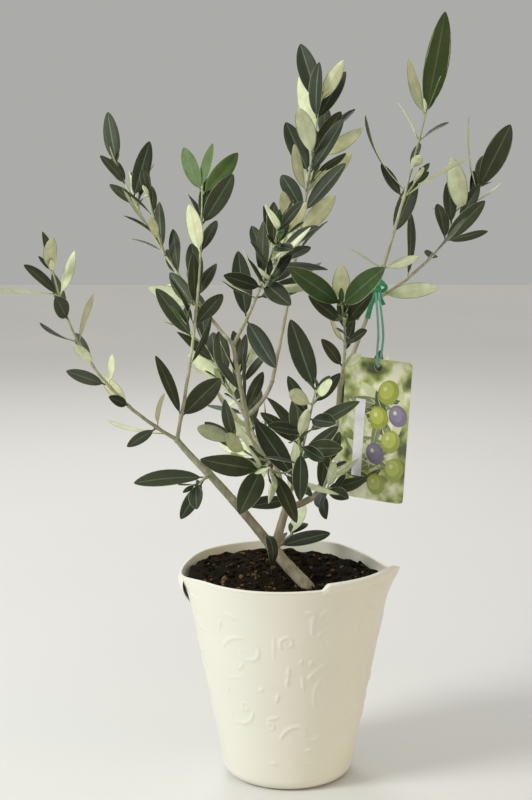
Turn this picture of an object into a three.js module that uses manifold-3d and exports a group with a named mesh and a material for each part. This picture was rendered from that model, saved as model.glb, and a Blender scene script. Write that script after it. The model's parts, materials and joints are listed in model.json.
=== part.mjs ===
/*
 * Potted olive tree.
 *
 * A young olive stands in a tapered pot with a rolled lip. Its short trunk leans out of the soil and
 * forks low down into bare boughs, which end where the leafy shoots begin. A printed card hangs from
 * a ribbon on the right-hand limb.
 *
 * Millimetres, +Z up. The origin is the centre of the pot's flat underside, and -Y is the front.
 * Directions are pairs of angles in degrees: the bearing, from +X towards +Y, and the climb.
 */
import * as THREE from 'three';
import { mergeVertices } from 'three/addons/utils/BufferGeometryUtils.js';
import Module from 'manifold-3d';

const wasm = await Module();
wasm.setup();

// ---------------------------------------------------------------- driving sizes

const GAP = 0.3;

const POT = { height: 156, rimRadius: 75.9, footRadius: 45.5, footRound: 6, wall: 2.4, floor: 4 };
const LIP = { depth: 14, roll: 2.6, rise: 4, from: -73, step: 4, to: -8, fade: 12 };
const EAR = { bearing: 178, width: 18, depth: 21, size: 4 };
// Places round the rim, each with its bearing, half its width in degrees, and its size.
const CORNERS = [{ bearing: 3, width: 12, size: 5 }, { bearing: 184, width: 38, size: 3 }];
const DIPS = [
  { bearing: 20, width: 50, size: 7 },
  { bearing: 184, width: 38, size: 4.8 },
  { bearing: -115, width: 60, size: 1.2 },
];
const CORNER_DEPTH = 31;
const SOIL = { level: 145, slope: [-0.05, 0.03], bump: 1.2, trunkRadius: 15 };

const TRUNK_FOOT = { x: 13.5, y: -22, flare: 1.45, collar: 1.15 };
const PATH_STEPS = 12;
const STUB_MIN = 3;
const LEAF_FOOT = 2.2;

// Bare wood: each limb starts at its parent's tip and turns evenly from one direction to another.
const LIMBS = [
  { name: 'trunk', parent: null, turn: [147.5, 35.5, 144, 40], length: 36, radius: [4.8, 4.3] },
  { name: 'bough_left_low', parent: 'trunk', turn: [-170.5, 53.5, -170, 48], length: 74.5,
    radius: [3.6, 2.8] },
  { name: 'bough_left_high', parent: 'bough_left_low', turn: [-170, 44, -170, 52], length: 34,
    radius: [2.6, 2.1] },
  { name: 'bough_fork', parent: 'trunk', turn: [37.5, 72, 32, 69], length: 31.5,
    radius: [3.3, 2.9] },
  { name: 'bough_right_low', parent: 'bough_fork', turn: [4, 11, 5, 39], length: 26,
    radius: [2.6, 2.4] },
  { name: 'bough_right_high', parent: 'bough_right_low', turn: [13, 70, 57, 85], length: 79,
    radius: [2.2, 1.8] },
  { name: 'bough_right_top', parent: 'bough_right_high', turn: [18, 66, 20, 69], length: 65,
    radius: [1.7, 1.5] },
  { name: 'bough_centre_low', parent: 'bough_fork', turn: [132, 73, 142, 69], length: 37,
    radius: [2.3, 2.1] },
  { name: 'bough_centre', parent: 'bough_centre_low', turn: [168, 17, 64, 76], length: 40,
    radius: [2.0, 1.8] },
  { name: 'bough_centre_high', parent: 'bough_centre', turn: [-172, 76, -166, 82], length: 53,
    radius: [1.7, 1.5] },
  { name: 'bough_top', parent: 'bough_centre', turn: [5, 36, 11, 71], length: 31,
    radius: [1.7, 1.5] },
];

// Leafy shoots: a stem with pairs of leaves from `bare` of its length to its tip. `open` is the angle
// between leaf and stem and `leaf` the leaf's length, both at the foot and at the tip of the stem.
// `tip` gives the lengths of the last pair, `phase` the bearing of the first pair round the stem, and
// `keep` the share of leaves that have not dropped. `twigs` side twigs are `twig` long. A leaf is turned
// over where its draw for the twist falls within TURNED_OVER above `over`.
const SHOOT_RADIUS = [1.4, 0.6];
const CROWDING = 0.85;
const SHOOTS = [
  { name: 'foliage_far_left', parent: 'bough_left_high', turn: [-156, 31, -110, 68], length: 161,
    pairs: 8, bare: 0.11, open: [50, 24], leaf: [28, 34], tip: [38, 30],
    phase: 0, keep: 1, twigs: 0, twig: 0, seed: 585, over: 0.04 },
  { name: 'foliage_left', parent: 'bough_left_high', turn: [65, 65, 91, 69], length: 188,
    pairs: 7, bare: 0.09, open: [38, 12], leaf: [47, 31], tip: [36, 12],
    phase: 40, keep: 0.85, twigs: 1, twig: 22, seed: 278, over: 0.64 },
  { name: 'foliage_long_left', parent: 'bough_centre_high', turn: [147, 41, 136, 56], length: 169,
    pairs: 7, bare: 0.24, open: [38, 12], leaf: [37, 28], tip: [44, 24],
    phase: 175, keep: 0.9, twigs: 3, twig: 38, seed: 738, over: 0.64 },
  { name: 'foliage_mid_left', parent: 'bough_centre_high', turn: [-66, 39, -80, 39], length: 138,
    pairs: 6, bare: 0.24, open: [62, 20], leaf: [47, 34], tip: [40, 32],
    phase: 120, keep: 1, twigs: 3, twig: 34, seed: 8, over: 0.8 },
  { name: 'foliage_top', parent: 'bough_top', turn: [31, 76, 44, 80], length: 203,
    pairs: 10, bare: 0.36, open: [52, 20], leaf: [40, 47], tip: [50, 36],
    phase: 45, keep: 0.8, twigs: 1, twig: 44, seed: 441, over: 0.76 },
  { name: 'foliage_tall_right', parent: 'bough_right_top', turn: [-38, 70, -49, 72], length: 140,
    pairs: 6, bare: 0.18, open: [64, 24], leaf: [28, 28], tip: [71, 36],
    phase: 0, keep: 0.8, twigs: 0, twig: 0, seed: 144, over: 0.12 },
  { name: 'foliage_outer_right', parent: 'bough_right_top', turn: [37, 20, 51, 48], length: 140,
    pairs: 6, bare: 0.26, open: [46, 16], leaf: [47, 28], tip: [60, 52],
    phase: 170, keep: 0.85, twigs: 1, twig: 28, seed: 556, over: 0.64 },
  { name: 'foliage_inner_right', parent: 'bough_right_high', turn: [-83, 43, -100, 40], length: 98,
    pairs: 7, bare: 0.23, open: [34, 30], leaf: [28, 47], tip: [54, 48],
    phase: 165, keep: 0.8, twigs: 1, twig: 26, seed: 158, over: 0.84 },
  { name: 'foliage_front', parent: 'bough_fork', turn: [-75, 49, -81, 48], length: 131,
    pairs: 8, bare: 0.09, open: [66, 36], leaf: [47, 31], tip: [41, 51],
    phase: 45, keep: 1, twigs: 2, twig: 34, seed: 263, over: 0.76 },
  { name: 'foliage_low_centre', parent: 'bough_centre_low', turn: [-103, -2, -98, 9], length: 59,
    pairs: 5, bare: 0.03, open: [42, 20], leaf: [44, 44], tip: [56, 40],
    phase: 95, keep: 1, twigs: 3, twig: 34, seed: 848, over: 0.84 },
  { name: 'foliage_low_left', parent: 'bough_left_low', turn: [-103, -8, -106, 4], length: 32,
    pairs: 2, bare: 0.25, open: [62, 12], leaf: [47, 43], tip: [36, 29],
    phase: 165, keep: 0.7, twigs: 0, twig: 0, seed: 630, over: 0.68 },
  { name: 'foliage_low_right', parent: 'bough_right_low', turn: [-76, 19, -81, 17], length: 36,
    pairs: 4, bare: 0.09, open: [44, 16], leaf: [36, 28], tip: [22, 38],
    phase: 115, keep: 1, twigs: 1, twig: 26, seed: 403, over: 0.5 },
  { name: 'foliage_base', parent: 'trunk', turn: [68, 9, 66, 7], length: 31,
    pairs: 2, bare: 0.21, open: [30, 12], leaf: [47, 34], tip: [36, 45],
    phase: 105, keep: 1, twigs: 1, twig: 24, seed: 111, over: 0.44 },
  { name: 'foliage_back', parent: 'bough_fork', turn: [112, 38, 140, 50], length: 150,
    pairs: 8, bare: 0.2, open: [46, 24], leaf: [42, 42], tip: [42, 40],
    phase: 70, keep: 1, twigs: 3, twig: 40, seed: 29, over: 0.56 },
  { name: 'foliage_back_right', parent: 'bough_right_low', turn: [63, 21, 75, 31], length: 123,
    pairs: 6, bare: 0.28, open: [46, 24], leaf: [42, 42], tip: [42, 40],
    phase: 25, keep: 1, twigs: 2, twig: 38, seed: 533, over: 0.68 },
];

// Leaves that stand wide of the pairs: how far up the stem, the angle round it, and their own shape.
const WIDE_LEAVES = [
  { shoot: 'foliage_far_left', at: 0.9, around: 175, open: 70, length: 44, bend: 10, twist: -45 },
  { shoot: 'foliage_far_left', at: 0.05, around: 140, open: 40, length: 45, bend: 14, twist: 120 },
  { shoot: 'foliage_tall_right', at: 0.6, around: 165, open: 65, length: 61, bend: 40, twist: 140 },
  { shoot: 'foliage_tall_right', at: 0.57, around: 5, open: 40, length: 54, bend: 10, twist: 40 },
  { shoot: 'foliage_outer_right', at: 0.97, around: -160, open: 50, length: 58, bend: 20, twist: 165 },
  { shoot: 'foliage_outer_right', at: 0.8, around: -150, open: 60, length: 46, bend: 15, twist: -70 },
  { shoot: 'foliage_left', at: 0.85, around: -10, open: 30, length: 46, bend: 10, twist: -65 },
  { shoot: 'foliage_left', at: 0.4, around: -165, open: 45, length: 45, bend: 10, twist: 60 },
  { shoot: 'foliage_low_left', at: 0.4, around: 140, open: 65, length: 33, bend: 20, twist: 20 },
  { shoot: 'foliage_long_left', at: 0.82, around: -10, open: 45, length: 46, bend: 8, twist: -75 },
  { shoot: 'foliage_outer_right', at: 0.58, around: -90, open: 25, length: 46, bend: 10, twist: -60 },
  { shoot: 'foliage_outer_right', at: 0.07, around: -110, open: 55, length: 43, bend: 10, twist: 55 },
  { shoot: 'foliage_tall_right', at: 0.36, around: 70, open: 25, length: 45, bend: 10, twist: -25 },
  { shoot: 'foliage_tall_right', at: 0.985, around: 178, open: 34, length: 42, bend: 12, twist: 178 },
  { shoot: 'foliage_left', at: 0.985, around: 172, open: 24, length: 40, bend: 10, twist: 50 },
  { shoot: 'foliage_left', at: 0.975, around: -4, open: 40, length: 42, bend: 8, twist: -78 },
];

const BLADE = { width: 0.142, thickness: 0.018, stalk: 0.85, fold: 0.28 };
const BLADE_STATIONS = [[0.28, 0.8], [0.62, 0.95]];
const LIGHT = { from: [-0.35, -0.75, 0.55], pull: 0.42 };
const JITTER = { turn: 24, open: 16, length: 0.3, bend: [10, 30], twist: 110, around: 20 };
const LEAF_CLEAR = 4.2;
const OWN_LEAF_CLEAR = 2.2;
const TURNED_OVER = 0.34;
const STEM_CLEAR = 2.4;
const LEAF_TRIES = 6;
const TURN_STEP = 37;
const TWIG = { open: 42, lift: 0.45, radius: [1.0, 0.6], leaf: 0.8, pairs: 3, bare: 0.3 };

const TAG = { width: 50, height: 102, thickness: 0.6, corner: 2, hole: 2.8, holeDrop: 6,
  yaw: -25, lean: 3.8, hang: [0, -26, -53] };
const TIE = { stem: 'foliage_tall_right', at: 0.07, band: 1.0, knot: 3.6, strand: 0.45,
  end: [2.6, 0.7, 11], endLeans: [-38, 65] };

// ---------------------------------------------------------------- small helpers

const ORIGIN = new THREE.Vector3();
const UP = new THREE.Vector3(0, 0, 1);
const BACK = new THREE.Vector3(0, 1, 0);
const root = new THREE.Group();
const limbs = {};

const radians = THREE.MathUtils.degToRad;

// A seeded die: every call gives the next number from 0 to 1.
function dice(seed) {
  const modulus = 2147483647;
  let state = (seed * 7919 + 104729) % modulus;
  const roll = () => {
    state = (state * 48271) % modulus;
    return state / modulus;
  };
  for (let k = 0; k < 3; k++) roll();
  return roll;
}

function heading(bearing, climb) {
  const b = radians(bearing);
  const c = radians(climb);
  return new THREE.Vector3(Math.cos(c) * Math.cos(b), Math.cos(c) * Math.sin(b), Math.sin(c));
}

// A vector from `base`, moved along several directions: at(base, [dir, amount], ...).
function at(base, ...moves) {
  const p = base.clone();
  for (const [dir, amount] of moves) p.addScaledVector(dir, amount);
  return p;
}

function midpoint(points) {
  const centre = new THREE.Vector3();
  for (const p of points) centre.add(p);
  return centre.divideScalar(points.length);
}

function solidOf(geometry) {
  const bare = geometry.clone();
  for (const name of ['normal', 'uv']) bare.deleteAttribute(name);
  const merged = mergeVertices(bare, 1e-4);
  const mesh = new wasm.Mesh({
    numProp: 3,
    vertProperties: new Float32Array(merged.attributes.position.array),
    triVerts: new Uint32Array(merged.index.array),
  });
  return new wasm.Manifold(mesh);
}

// The largest connected body of a solid, as a geometry; loose scraps are dropped.
function geometryOf(solid) {
  const bodies = solid.asOriginal().simplify(0.1).decompose().sort((a, b) => b.volume() - a.volume());
  const mesh = bodies[0].getMesh();
  const geometry = new THREE.BufferGeometry();
  geometry.setAttribute('position', new THREE.Float32BufferAttribute(mesh.vertProperties, 3));
  geometry.setIndex(new THREE.Uint32BufferAttribute(mesh.triVerts, 1));
  geometry.computeVertexNormals();
  return geometry;
}

function place(name, geometry, colour, roughness, parent = root) {
  const material = new THREE.MeshStandardMaterial({ color: colour, roughness, metalness: 0 });
  const mesh = new THREE.Mesh(geometry, material);
  mesh.name = name;
  parent.add(mesh);
  return mesh;
}

// A closed skin over rings of points, each running counter-clockwise round the way of travel. With
// a tip it ends in that point.
function loft(rings, tip = null) {
  const sides = rings[0].length;
  const positions = rings.flat().flatMap((p) => [p.x, p.y, p.z]);
  const index = [];
  for (let i = 1; i < sides - 1; i++) index.push(0, i + 1, i);
  for (let k = 0; k < rings.length - 1; k++) {
    for (let i = 0; i < sides; i++) {
      const a = k * sides + i;
      const b = k * sides + ((i + 1) % sides);
      index.push(a, b, b + sides, a, b + sides, a + sides);
    }
  }
  const last = (rings.length - 1) * sides;
  if (tip) {
    positions.push(tip.x, tip.y, tip.z);
    for (let i = 0; i < sides; i++) index.push(last + i, last + ((i + 1) % sides), last + sides);
  } else {
    for (let i = 1; i < sides - 1; i++) index.push(last, last + i, last + i + 1);
  }
  const geometry = new THREE.BufferGeometry();
  geometry.setAttribute('position', new THREE.Float32BufferAttribute(positions, 3));
  geometry.setIndex(index);
  return geometry;
}

// ---------------------------------------------------------------- limb paths

// A path that starts at a point and turns evenly from one direction to another over its length.
function limbPath(start, from, to, length) {
  const blend = (t) => from.clone().lerp(to, t).normalize();
  const points = [start.clone()];
  const dirs = [blend(0)];
  for (let k = 0; k < PATH_STEPS; k++) {
    points.push(at(points[k], [blend((k + 0.5) / PATH_STEPS), length / PATH_STEPS]));
    dirs.push(blend((k + 1) / PATH_STEPS));
  }
  return { points, dirs, length };
}

// The point and direction at a fraction of a path.
function along(path, fraction) {
  const x = Math.min(Math.max(fraction * PATH_STEPS, 0), PATH_STEPS - 1e-9);
  const i = Math.floor(x);
  return {
    point: path.points[i].clone().lerp(path.points[i + 1], x - i),
    dir: path.dirs[i].clone().lerp(path.dirs[i + 1], x - i).normalize(),
  };
}

// The direction that stands off a stem at an angle round it: 0 is to the right, 90 to the back.
function radial(dir, angle) {
  const side = BACK.clone().cross(dir).normalize();
  const back = dir.clone().cross(side);
  return side.multiplyScalar(Math.cos(angle)).addScaledVector(back, Math.sin(angle));
}

function ring(centre, dir, radius, sides) {
  const points = [];
  for (let i = 0; i < sides; i++) {
    points.push(at(centre, [radial(dir, (2 * Math.PI * i) / sides), radius]));
  }
  return points;
}

function radiusAt(limb, fraction) {
  return limb.radius[0] + (limb.radius[1] - limb.radius[0]) * fraction;
}

// A tapering tube along a limb, between two fractions of its path.
function tube(limb, from, to, sides, count) {
  const rings = [];
  for (let k = 0; k <= count; k++) {
    const fraction = from + ((to - from) * k) / count;
    const { point, dir } = along(limb.path, fraction);
    rings.push(ring(point, dir, radiusAt(limb, fraction), sides));
  }
  return rings;
}

// How far from the fork a limb is clear of the limbs that start with it.
function stubLength(limb, siblings) {
  let length = STUB_MIN;
  for (const other of siblings) {
    if (other === limb) continue;
    const angle = limb.path.dirs[0].angleTo(other.path.dirs[0]);
    const apart = limb.radius[0] + other.radius[0] + 3 * GAP;
    length = Math.max(length, apart / (2 * Math.sin(angle / 2)));
  }
  return length;
}

// Lay out every path first, so that each piece knows its neighbours.
function layOut() {
  for (const spec of [...LIMBS, ...SHOOTS]) {
    const foot = new THREE.Vector3(TRUNK_FOOT.x, TRUNK_FOOT.y, SOIL.level + GAP);
    const start = spec.parent ? limbs[spec.parent].path.points[PATH_STEPS] : foot;
    const [from, to] = [heading(spec.turn[0], spec.turn[1]), heading(spec.turn[2], spec.turn[3])];
    const path = limbPath(start, from, to, spec.length);
    limbs[spec.name] = { radius: SHOOT_RADIUS, stub: 0, ...spec, path };
  }
  for (const limb of Object.values(limbs)) {
    const siblings = Object.values(limbs).filter((other) => other.parent === limb.parent);
    if (limb.parent) limb.stub = stubLength(limb, siblings);
    limb.firstLeaf = (limb.stub + LEAF_FOOT) / limb.length;
  }
}

// ---------------------------------------------------------------- pot and soil

// How strongly a feature centred on a bearing shows at an angle, from 1 at its middle to 0 at its rim.
function hump(angle, centre, halfWidth) {
  const apart = Math.abs(THREE.MathUtils.euclideanModulo(angle - centre + 180, 360) - 180);
  return THREE.MathUtils.smoothstep(1 - apart / halfWidth, 0, 1);
}

// What all the features of one kind add up to at an angle.
function total(features, angle) {
  return features.reduce((sum, { bearing, width, size }) => sum + size * hump(angle, bearing, width), 0);
}

// The lip is rolled out and stands higher from a step at the front round to the right.
function lipShare(angle) {
  const rising = THREE.MathUtils.smoothstep(angle, LIP.from, LIP.from + LIP.step);
  return rising * (1 - THREE.MathUtils.smoothstep(angle, LIP.to, LIP.to + LIP.fade));
}

function makePot() {
  const { height, rimRadius, footRadius, footRound, wall, floor } = POT;
  const slope = (rimRadius - footRadius) / height;
  const outer = (z) => footRadius + slope * z;
  const profile = [new THREE.Vector2(0, 0)];
  for (let k = 0; k <= 3; k++) {
    const turn = (Math.PI / 6) * k;
    const r = outer(footRound) - footRound * (1 - Math.sin(turn));
    profile.push(new THREE.Vector2(r, footRound * (1 - Math.cos(turn))));
  }
  for (const z of [60, 110, height - 2 * LIP.depth, height - LIP.depth, height - LIP.depth / 2]) {
    profile.push(new THREE.Vector2(outer(z), z));
  }
  profile.push(new THREE.Vector2(rimRadius, height - wall / 3));
  profile.push(new THREE.Vector2(rimRadius - wall / 3, height));
  profile.push(new THREE.Vector2(rimRadius - wall, height - wall / 3));
  profile.push(new THREE.Vector2(outer(height - LIP.depth) - wall, height - LIP.depth));
  profile.push(new THREE.Vector2(outer(floor) - wall, floor));
  profile.push(new THREE.Vector2(0, floor));
  const geometry = new THREE.LatheGeometry(profile, 48);
  geometry.rotateX(Math.PI / 2);
  const spot = geometry.attributes.position;
  for (let i = 0; i < spot.count; i++) {
    const [x, y, z] = [spot.getX(i), spot.getY(i), spot.getZ(i)];
    const angle = THREE.MathUtils.radToDeg(Math.atan2(y, x));
    const radius = Math.hypot(x, y);
    if (radius < footRadius) continue;
    const inside = radius < outer(z) - wall / 2;
    const nearLip = THREE.MathUtils.smoothstep(z, height - LIP.depth, height);
    const nearCorner = THREE.MathUtils.smoothstep(z, height - CORNER_DEPTH, height);
    const nearEar = hump(z, height - EAR.depth * 0.6, EAR.depth * 0.6);
    const roll = inside ? 0 : LIP.roll * lipShare(angle);
    const reach = nearLip * roll + nearCorner * total(CORNERS, angle) + nearEar * total([EAR], angle);
    const lift = nearLip * (LIP.rise * lipShare(angle) - total(DIPS, angle));
    spot.setXYZ(i, x * (1 + reach / radius), y * (1 + reach / radius), z + lift);
  }
  place('pot', geometry, 0xe6e3cf, 0.55);
}

function makeSoil() {
  const { rimRadius, footRadius, height, wall, floor } = POT;
  const inner = (z) => footRadius + ((rimRadius - footRadius) * z) / height - wall - 2 * GAP;
  const profile = [[0, floor + GAP], [inner(floor), floor + GAP], [inner(SOIL.level), SOIL.level]];
  for (const part of [0.82, 0.62, 0.42, 0.2]) profile.push([inner(SOIL.level) * part, SOIL.level]);
  profile.push([0, SOIL.level]);
  const geometry = new THREE.LatheGeometry(profile.map(([r, z]) => new THREE.Vector2(r, z)), 30);
  geometry.rotateX(Math.PI / 2);
  const spot = geometry.attributes.position;
  for (let i = 0; i < spot.count; i++) {
    const [x, y, z] = [spot.getX(i), spot.getY(i), spot.getZ(i)];
    const radius = Math.hypot(x, y);
    const fromTrunk = Math.hypot(x - TRUNK_FOOT.x, y - TRUNK_FOOT.y);
    if (z < SOIL.level - 1 || fromTrunk < SOIL.trunkRadius) continue;
    const level = z + SOIL.slope[0] * (x - TRUNK_FOOT.x) + SOIL.slope[1] * (y - TRUNK_FOOT.y);
    const bump = radius > inner(SOIL.level) - 1 ? 0 : SOIL.bump * Math.sin(x * 0.31 + 1) * Math.cos(y * 0.27);
    const share = inner(level) / inner(SOIL.level);
    spot.setXYZ(i, x * share, y * share, level + bump);
  }
  place('soil', geometry, 0x2a2219, 0.95);
}

// ---------------------------------------------------------------- trunk and boughs

// A limb's own tube, with a stub for everything that grows from its tip.
function makeLimb(limb) {
  const sides = limb.parent ? 8 : 12;
  const start = limb.parent ? (limb.stub + GAP) / limb.length : 0;
  const rings = tube(limb, start, 1, sides, Math.max(3, Math.round(limb.length / 12)));
  if (!limb.parent) shapeTrunkFoot(rings, limb);
  let solid = solidOf(loft(rings));
  const tip = along(limb.path, 1);
  const children = Object.values(limbs).filter((child) => child.parent === limb.name);
  for (const child of children) {
    const full = { ...child, radius: [limb.radius[1], child.radius[0]] };
    const stub = [0, 0.5, 1].map((part) => {
      const { point, dir } = along(child.path, (part * child.stub) / child.length);
      return ring(point, dir, radiusAt(full, part), 8);
    });
    solid = solid.add(solidOf(loft(stub)));
  }
  const knob = new THREE.IcosahedronGeometry(limb.radius[1] * 1.02, 1);
  knob.translate(tip.point.x, tip.point.y, tip.point.z);
  solid = solid.add(solidOf(knob));
  place(limb.name, geometryOf(solid), 0xa79f88, 0.85);
}

// The trunk's first ring lies flat on the soil, and the first two flare into the root collar.
function shapeTrunkFoot(rings, limb) {
  const halfway = UP.clone().lerp(limb.path.dirs[0], 0.5).normalize();
  const dirs = [UP, halfway];
  const shares = [TRUNK_FOOT.flare, TRUNK_FOOT.collar];
  for (const k of [0, 1]) {
    const centre = midpoint(rings[k]);
    rings[k] = ring(centre, dirs[k], limb.radius[0] * shares[k], rings[k].length);
  }
}

// ---------------------------------------------------------------- leaves

// The frame of a leaf on a stem: its own direction, its upper side, which turns to the light, and
// its right edge.
function leafFrame(stemDir, around, opening, twist) {
  const dir = stemDir.clone().multiplyScalar(Math.cos(opening));
  dir.addScaledVector(radial(stemDir, around), Math.sin(opening));
  const face = stemDir.clone().lerp(new THREE.Vector3(...LIGHT.from).normalize(), LIGHT.pull);
  face.addScaledVector(dir, -face.dot(dir)).normalize();
  const side = face.clone().cross(dir);
  face.multiplyScalar(Math.cos(twist)).addScaledVector(side, Math.sin(twist));
  return { dir, face, side: face.clone().cross(dir) };
}

// A point on the midrib, which arches away from the upper side.
function midrib(leaf, s) {
  const turned = leaf.bend * s;
  const reach = (leaf.length * Math.sin(turned)) / leaf.bend;
  const drop = (leaf.length * (1 - Math.cos(turned))) / leaf.bend;
  return at(leaf.base, [leaf.dir, reach], [leaf.face, -drop]);
}

// Points over the blade, for measuring how near other pieces come.
function bladeSamples(leaf) {
  const samples = [];
  for (let k = 1; k <= 12; k++) {
    const s = k / 12;
    const half = leaf.length * BLADE.width * Math.sin(Math.PI * Math.min(s, 0.98)) ** 0.6;
    for (const across of [-1, 0, 1]) {
      samples.push({ s, point: at(midrib(leaf, s), [leaf.side, across * half]) });
    }
  }
  return samples;
}

function bladeGeometry(leaf) {
  const section = (s, half, depth) => {
    const middle = midrib(leaf, s);
    const lift = half * BLADE.fold;
    return [
      at(middle, [leaf.side, half], [leaf.face, lift]),
      at(middle, [leaf.side, -half], [leaf.face, lift]),
      at(middle, [leaf.face, -depth]),
    ];
  };
  const depth = leaf.length * BLADE.thickness;
  const rings = [section(0, BLADE.stalk, BLADE.stalk)];
  for (const [s, share] of BLADE_STATIONS) {
    rings.push(section(s, leaf.length * BLADE.width * share, depth));
  }
  return loft(rings, midrib(leaf, 1));
}

function tooNear(samples, points, clearance) {
  return samples.some((sample) => points.some((p) => sample.point.distanceTo(p) < clearance));
}

// Whether a leaf keeps to its own space: clear of the pot, the card, other limbs and other leaves.
function leafFits(samples, owner, taken) {
  if (samples.some(({ point }) => point.z < POT.height + 2)) return false;
  if (samples.some(({ point }) => inCard(point))) return false;
  if (tooNear(samples, tieSpace(), TIE.knot + STEM_CLEAR)) return false;
  for (const limb of Object.values(limbs)) {
    if (limb.name === owner) continue;
    const wood = [];
    for (let k = 0; k <= 2 * PATH_STEPS; k++) wood.push(along(limb.path, k / (2 * PATH_STEPS)).point);
    const outer = samples.filter(({ s }) => s > 0.15);
    if (tooNear(outer, wood, limb.radius[0] + STEM_CLEAR)) return false;
  }
  for (const other of taken) {
    if (other.owner === owner) {
      const outer = samples.filter(({ s }) => s > 0.35);
      if (tooNear(outer, other.outer, OWN_LEAF_CLEAR)) return false;
    } else if (tooNear(samples, other.points, LEAF_CLEAR)) {
      return false;
    }
  }
  return true;
}

// ---------------------------------------------------------------- masses of leaves

const mix = ([from, to], part) => from + (to - from) * part;

// A leaf that has no room is turned on round its stem, and is left out if it never fits.
function addLeaf(leaves, stem, angles, shape, owner, taken) {
  for (let tries = 0; tries < LEAF_TRIES; tries++) {
    const around = angles.around + radians(TURN_STEP * tries);
    const leaf = { base: stem.point, ...shape, ...leafFrame(stem.dir, around, angles.open, angles.twist) };
    const samples = bladeSamples(leaf);
    if (!leafFits(samples, owner, taken)) continue;
    leaves.push(leaf);
    taken.push(claimed(owner, samples, 0.35));
    return;
  }
}

// Pairs of leaves up a stem, each pair turned a quarter round from the last.
function growLeaves(path, plan, roll, owner, taken) {
  const leaves = [];
  const spread = (range) => range * (roll() - 0.5);
  for (let k = 0; k < plan.pairs; k++) {
    const part = k / (plan.pairs - 1);
    const stem = along(path, mix([plan.bare, 1], part ** CROWDING));
    const turn = radians(plan.phase + 90 * k + spread(JITTER.turn));
    for (const side of [0, 1]) {
      const missing = roll() > plan.keep && k < plan.pairs - 1;
      const open = radians(mix(plan.open, part) + spread(JITTER.open));
      const grown = mix(plan.leaf, part) * (1 + spread(JITTER.length));
      const length = k === plan.pairs - 1 ? plan.tip[side] : grown;
      const bend = radians(JITTER.bend[0] + spread(JITTER.bend[1]));
      const draw = roll();
      const turnedOver = THREE.MathUtils.euclideanModulo(draw - plan.over, 1) < TURNED_OVER;
      const twist = radians(JITTER.twist * (draw - 0.5)) + (turnedOver ? Math.PI : 0);
      const around = turn + Math.PI * side + radians(spread(JITTER.around));
      if (missing) continue;
      addLeaf(leaves, stem, { around, open, twist }, { length, bend }, owner, taken);
    }
  }
  return leaves;
}

// The leaves of a stem that stand wide of its pairs.
function growWideLeaves(shoot, taken) {
  const leaves = [];
  for (const wide of WIDE_LEAVES.filter((row) => row.shoot === shoot.name)) {
    const angles = {};
    for (const key of ['around', 'open', 'twist']) angles[key] = radians(wide[key]);
    const shape = { length: wide.length, bend: radians(wide.bend) };
    const stem = along(shoot.path, Math.max(wide.at, shoot.firstLeaf));
    addLeaf(leaves, stem, angles, shape, shoot.name, taken);
  }
  return leaves;
}

// The space that a leaf or twig takes up, with the stretch past its root apart.
function claimed(owner, samples, rootShare) {
  const points = samples.map(({ point }) => point);
  const outer = samples.filter(({ s }) => s > rootShare).map(({ point }) => point);
  return { owner, points, outer, middle: midpoint(points) };
}

// Side twigs leave the stem towards the front and the back in turn, and lift towards the light.
function growTwigs(shoot, taken) {
  const twigs = [];
  for (let j = 0; j < shoot.twigs; j++) {
    const roll = dice(shoot.seed + 500 + j);
    const height = 0.1 + (0.6 * (j + roll())) / shoot.twigs;
    const { point, dir } = along(shoot.path, shoot.bare + (1 - shoot.bare) * height);
    const around = radians(90 + 180 * j + 60 * (roll() - 0.5));
    const open = radians(TWIG.open);
    const from = at(ORIGIN, [dir, Math.cos(open)], [radial(dir, around), Math.sin(open)]);
    const length = shoot.twig * (0.8 + 0.4 * roll());
    const path = limbPath(point, from, from.clone().lerp(UP, TWIG.lift), length);
    const samples = path.points.map((p, k) => ({ s: k / PATH_STEPS, point: p }));
    if (!leafFits(samples.slice(2), shoot.name, taken)) continue;
    taken.push(claimed(shoot.name, samples, 0.2));
    const leaf = shoot.leaf.map((size) => size * TWIG.leaf);
    const plan = { ...shoot, ...TWIG, open: shoot.open, leaf, tip: [leaf[1], leaf[1]], keep: 1,
      phase: 90 * roll() };
    const leaves = growLeaves(path, plan, roll, shoot.name, taken);
    twigs.push({ path, radius: TWIG.radius, length, leaves });
  }
  return twigs;
}

function makeMass(shoot, taken) {
  const leaves = growWideLeaves(shoot, taken);
  const plan = { ...shoot, bare: Math.max(shoot.bare, shoot.firstLeaf) };
  leaves.push(...growLeaves(shoot.path, plan, dice(shoot.seed), shoot.name, taken));
  const twigs = growTwigs(shoot, taken);
  const start = (shoot.stub + GAP) / shoot.length;
  const parts = [solidOf(loft(tube(shoot, start, 1, 3, Math.ceil(shoot.length / 18))))];
  for (const leaf of leaves) parts.push(solidOf(bladeGeometry(leaf)));
  for (const twig of twigs) {
    parts.push(solidOf(loft(tube(twig, 0, 1, 3, 3))));
    for (const leaf of twig.leaves) parts.push(solidOf(bladeGeometry(leaf)));
  }
  place(shoot.name, geometryOf(wasm.Manifold.union(parts)), 0x55634a, 0.6);
}

// ---------------------------------------------------------------- card and ribbon

// Where the ribbon is knotted and where it holds the card.
function tieFrame() {
  const { point, dir } = along(limbs[TIE.stem].path, TIE.at);
  const knot = at(point, [BACK, -(SHOOT_RADIUS[0] + GAP + TIE.band + TIE.knot * 0.5)]);
  const hole = at(point, [new THREE.Vector3(...TAG.hang), 1]);
  const turned = new THREE.Euler(0, radians(TAG.lean), radians(TAG.yaw), 'ZYX');
  const axis = (x, y, z) => new THREE.Vector3(x, y, z).applyEuler(turned);
  const [right, up, front] = [axis(1, 0, 0), axis(0, 0, 1), axis(0, -1, 0)];
  return { point, dir, knot, hole, turned, right, up, front };
}

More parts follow.
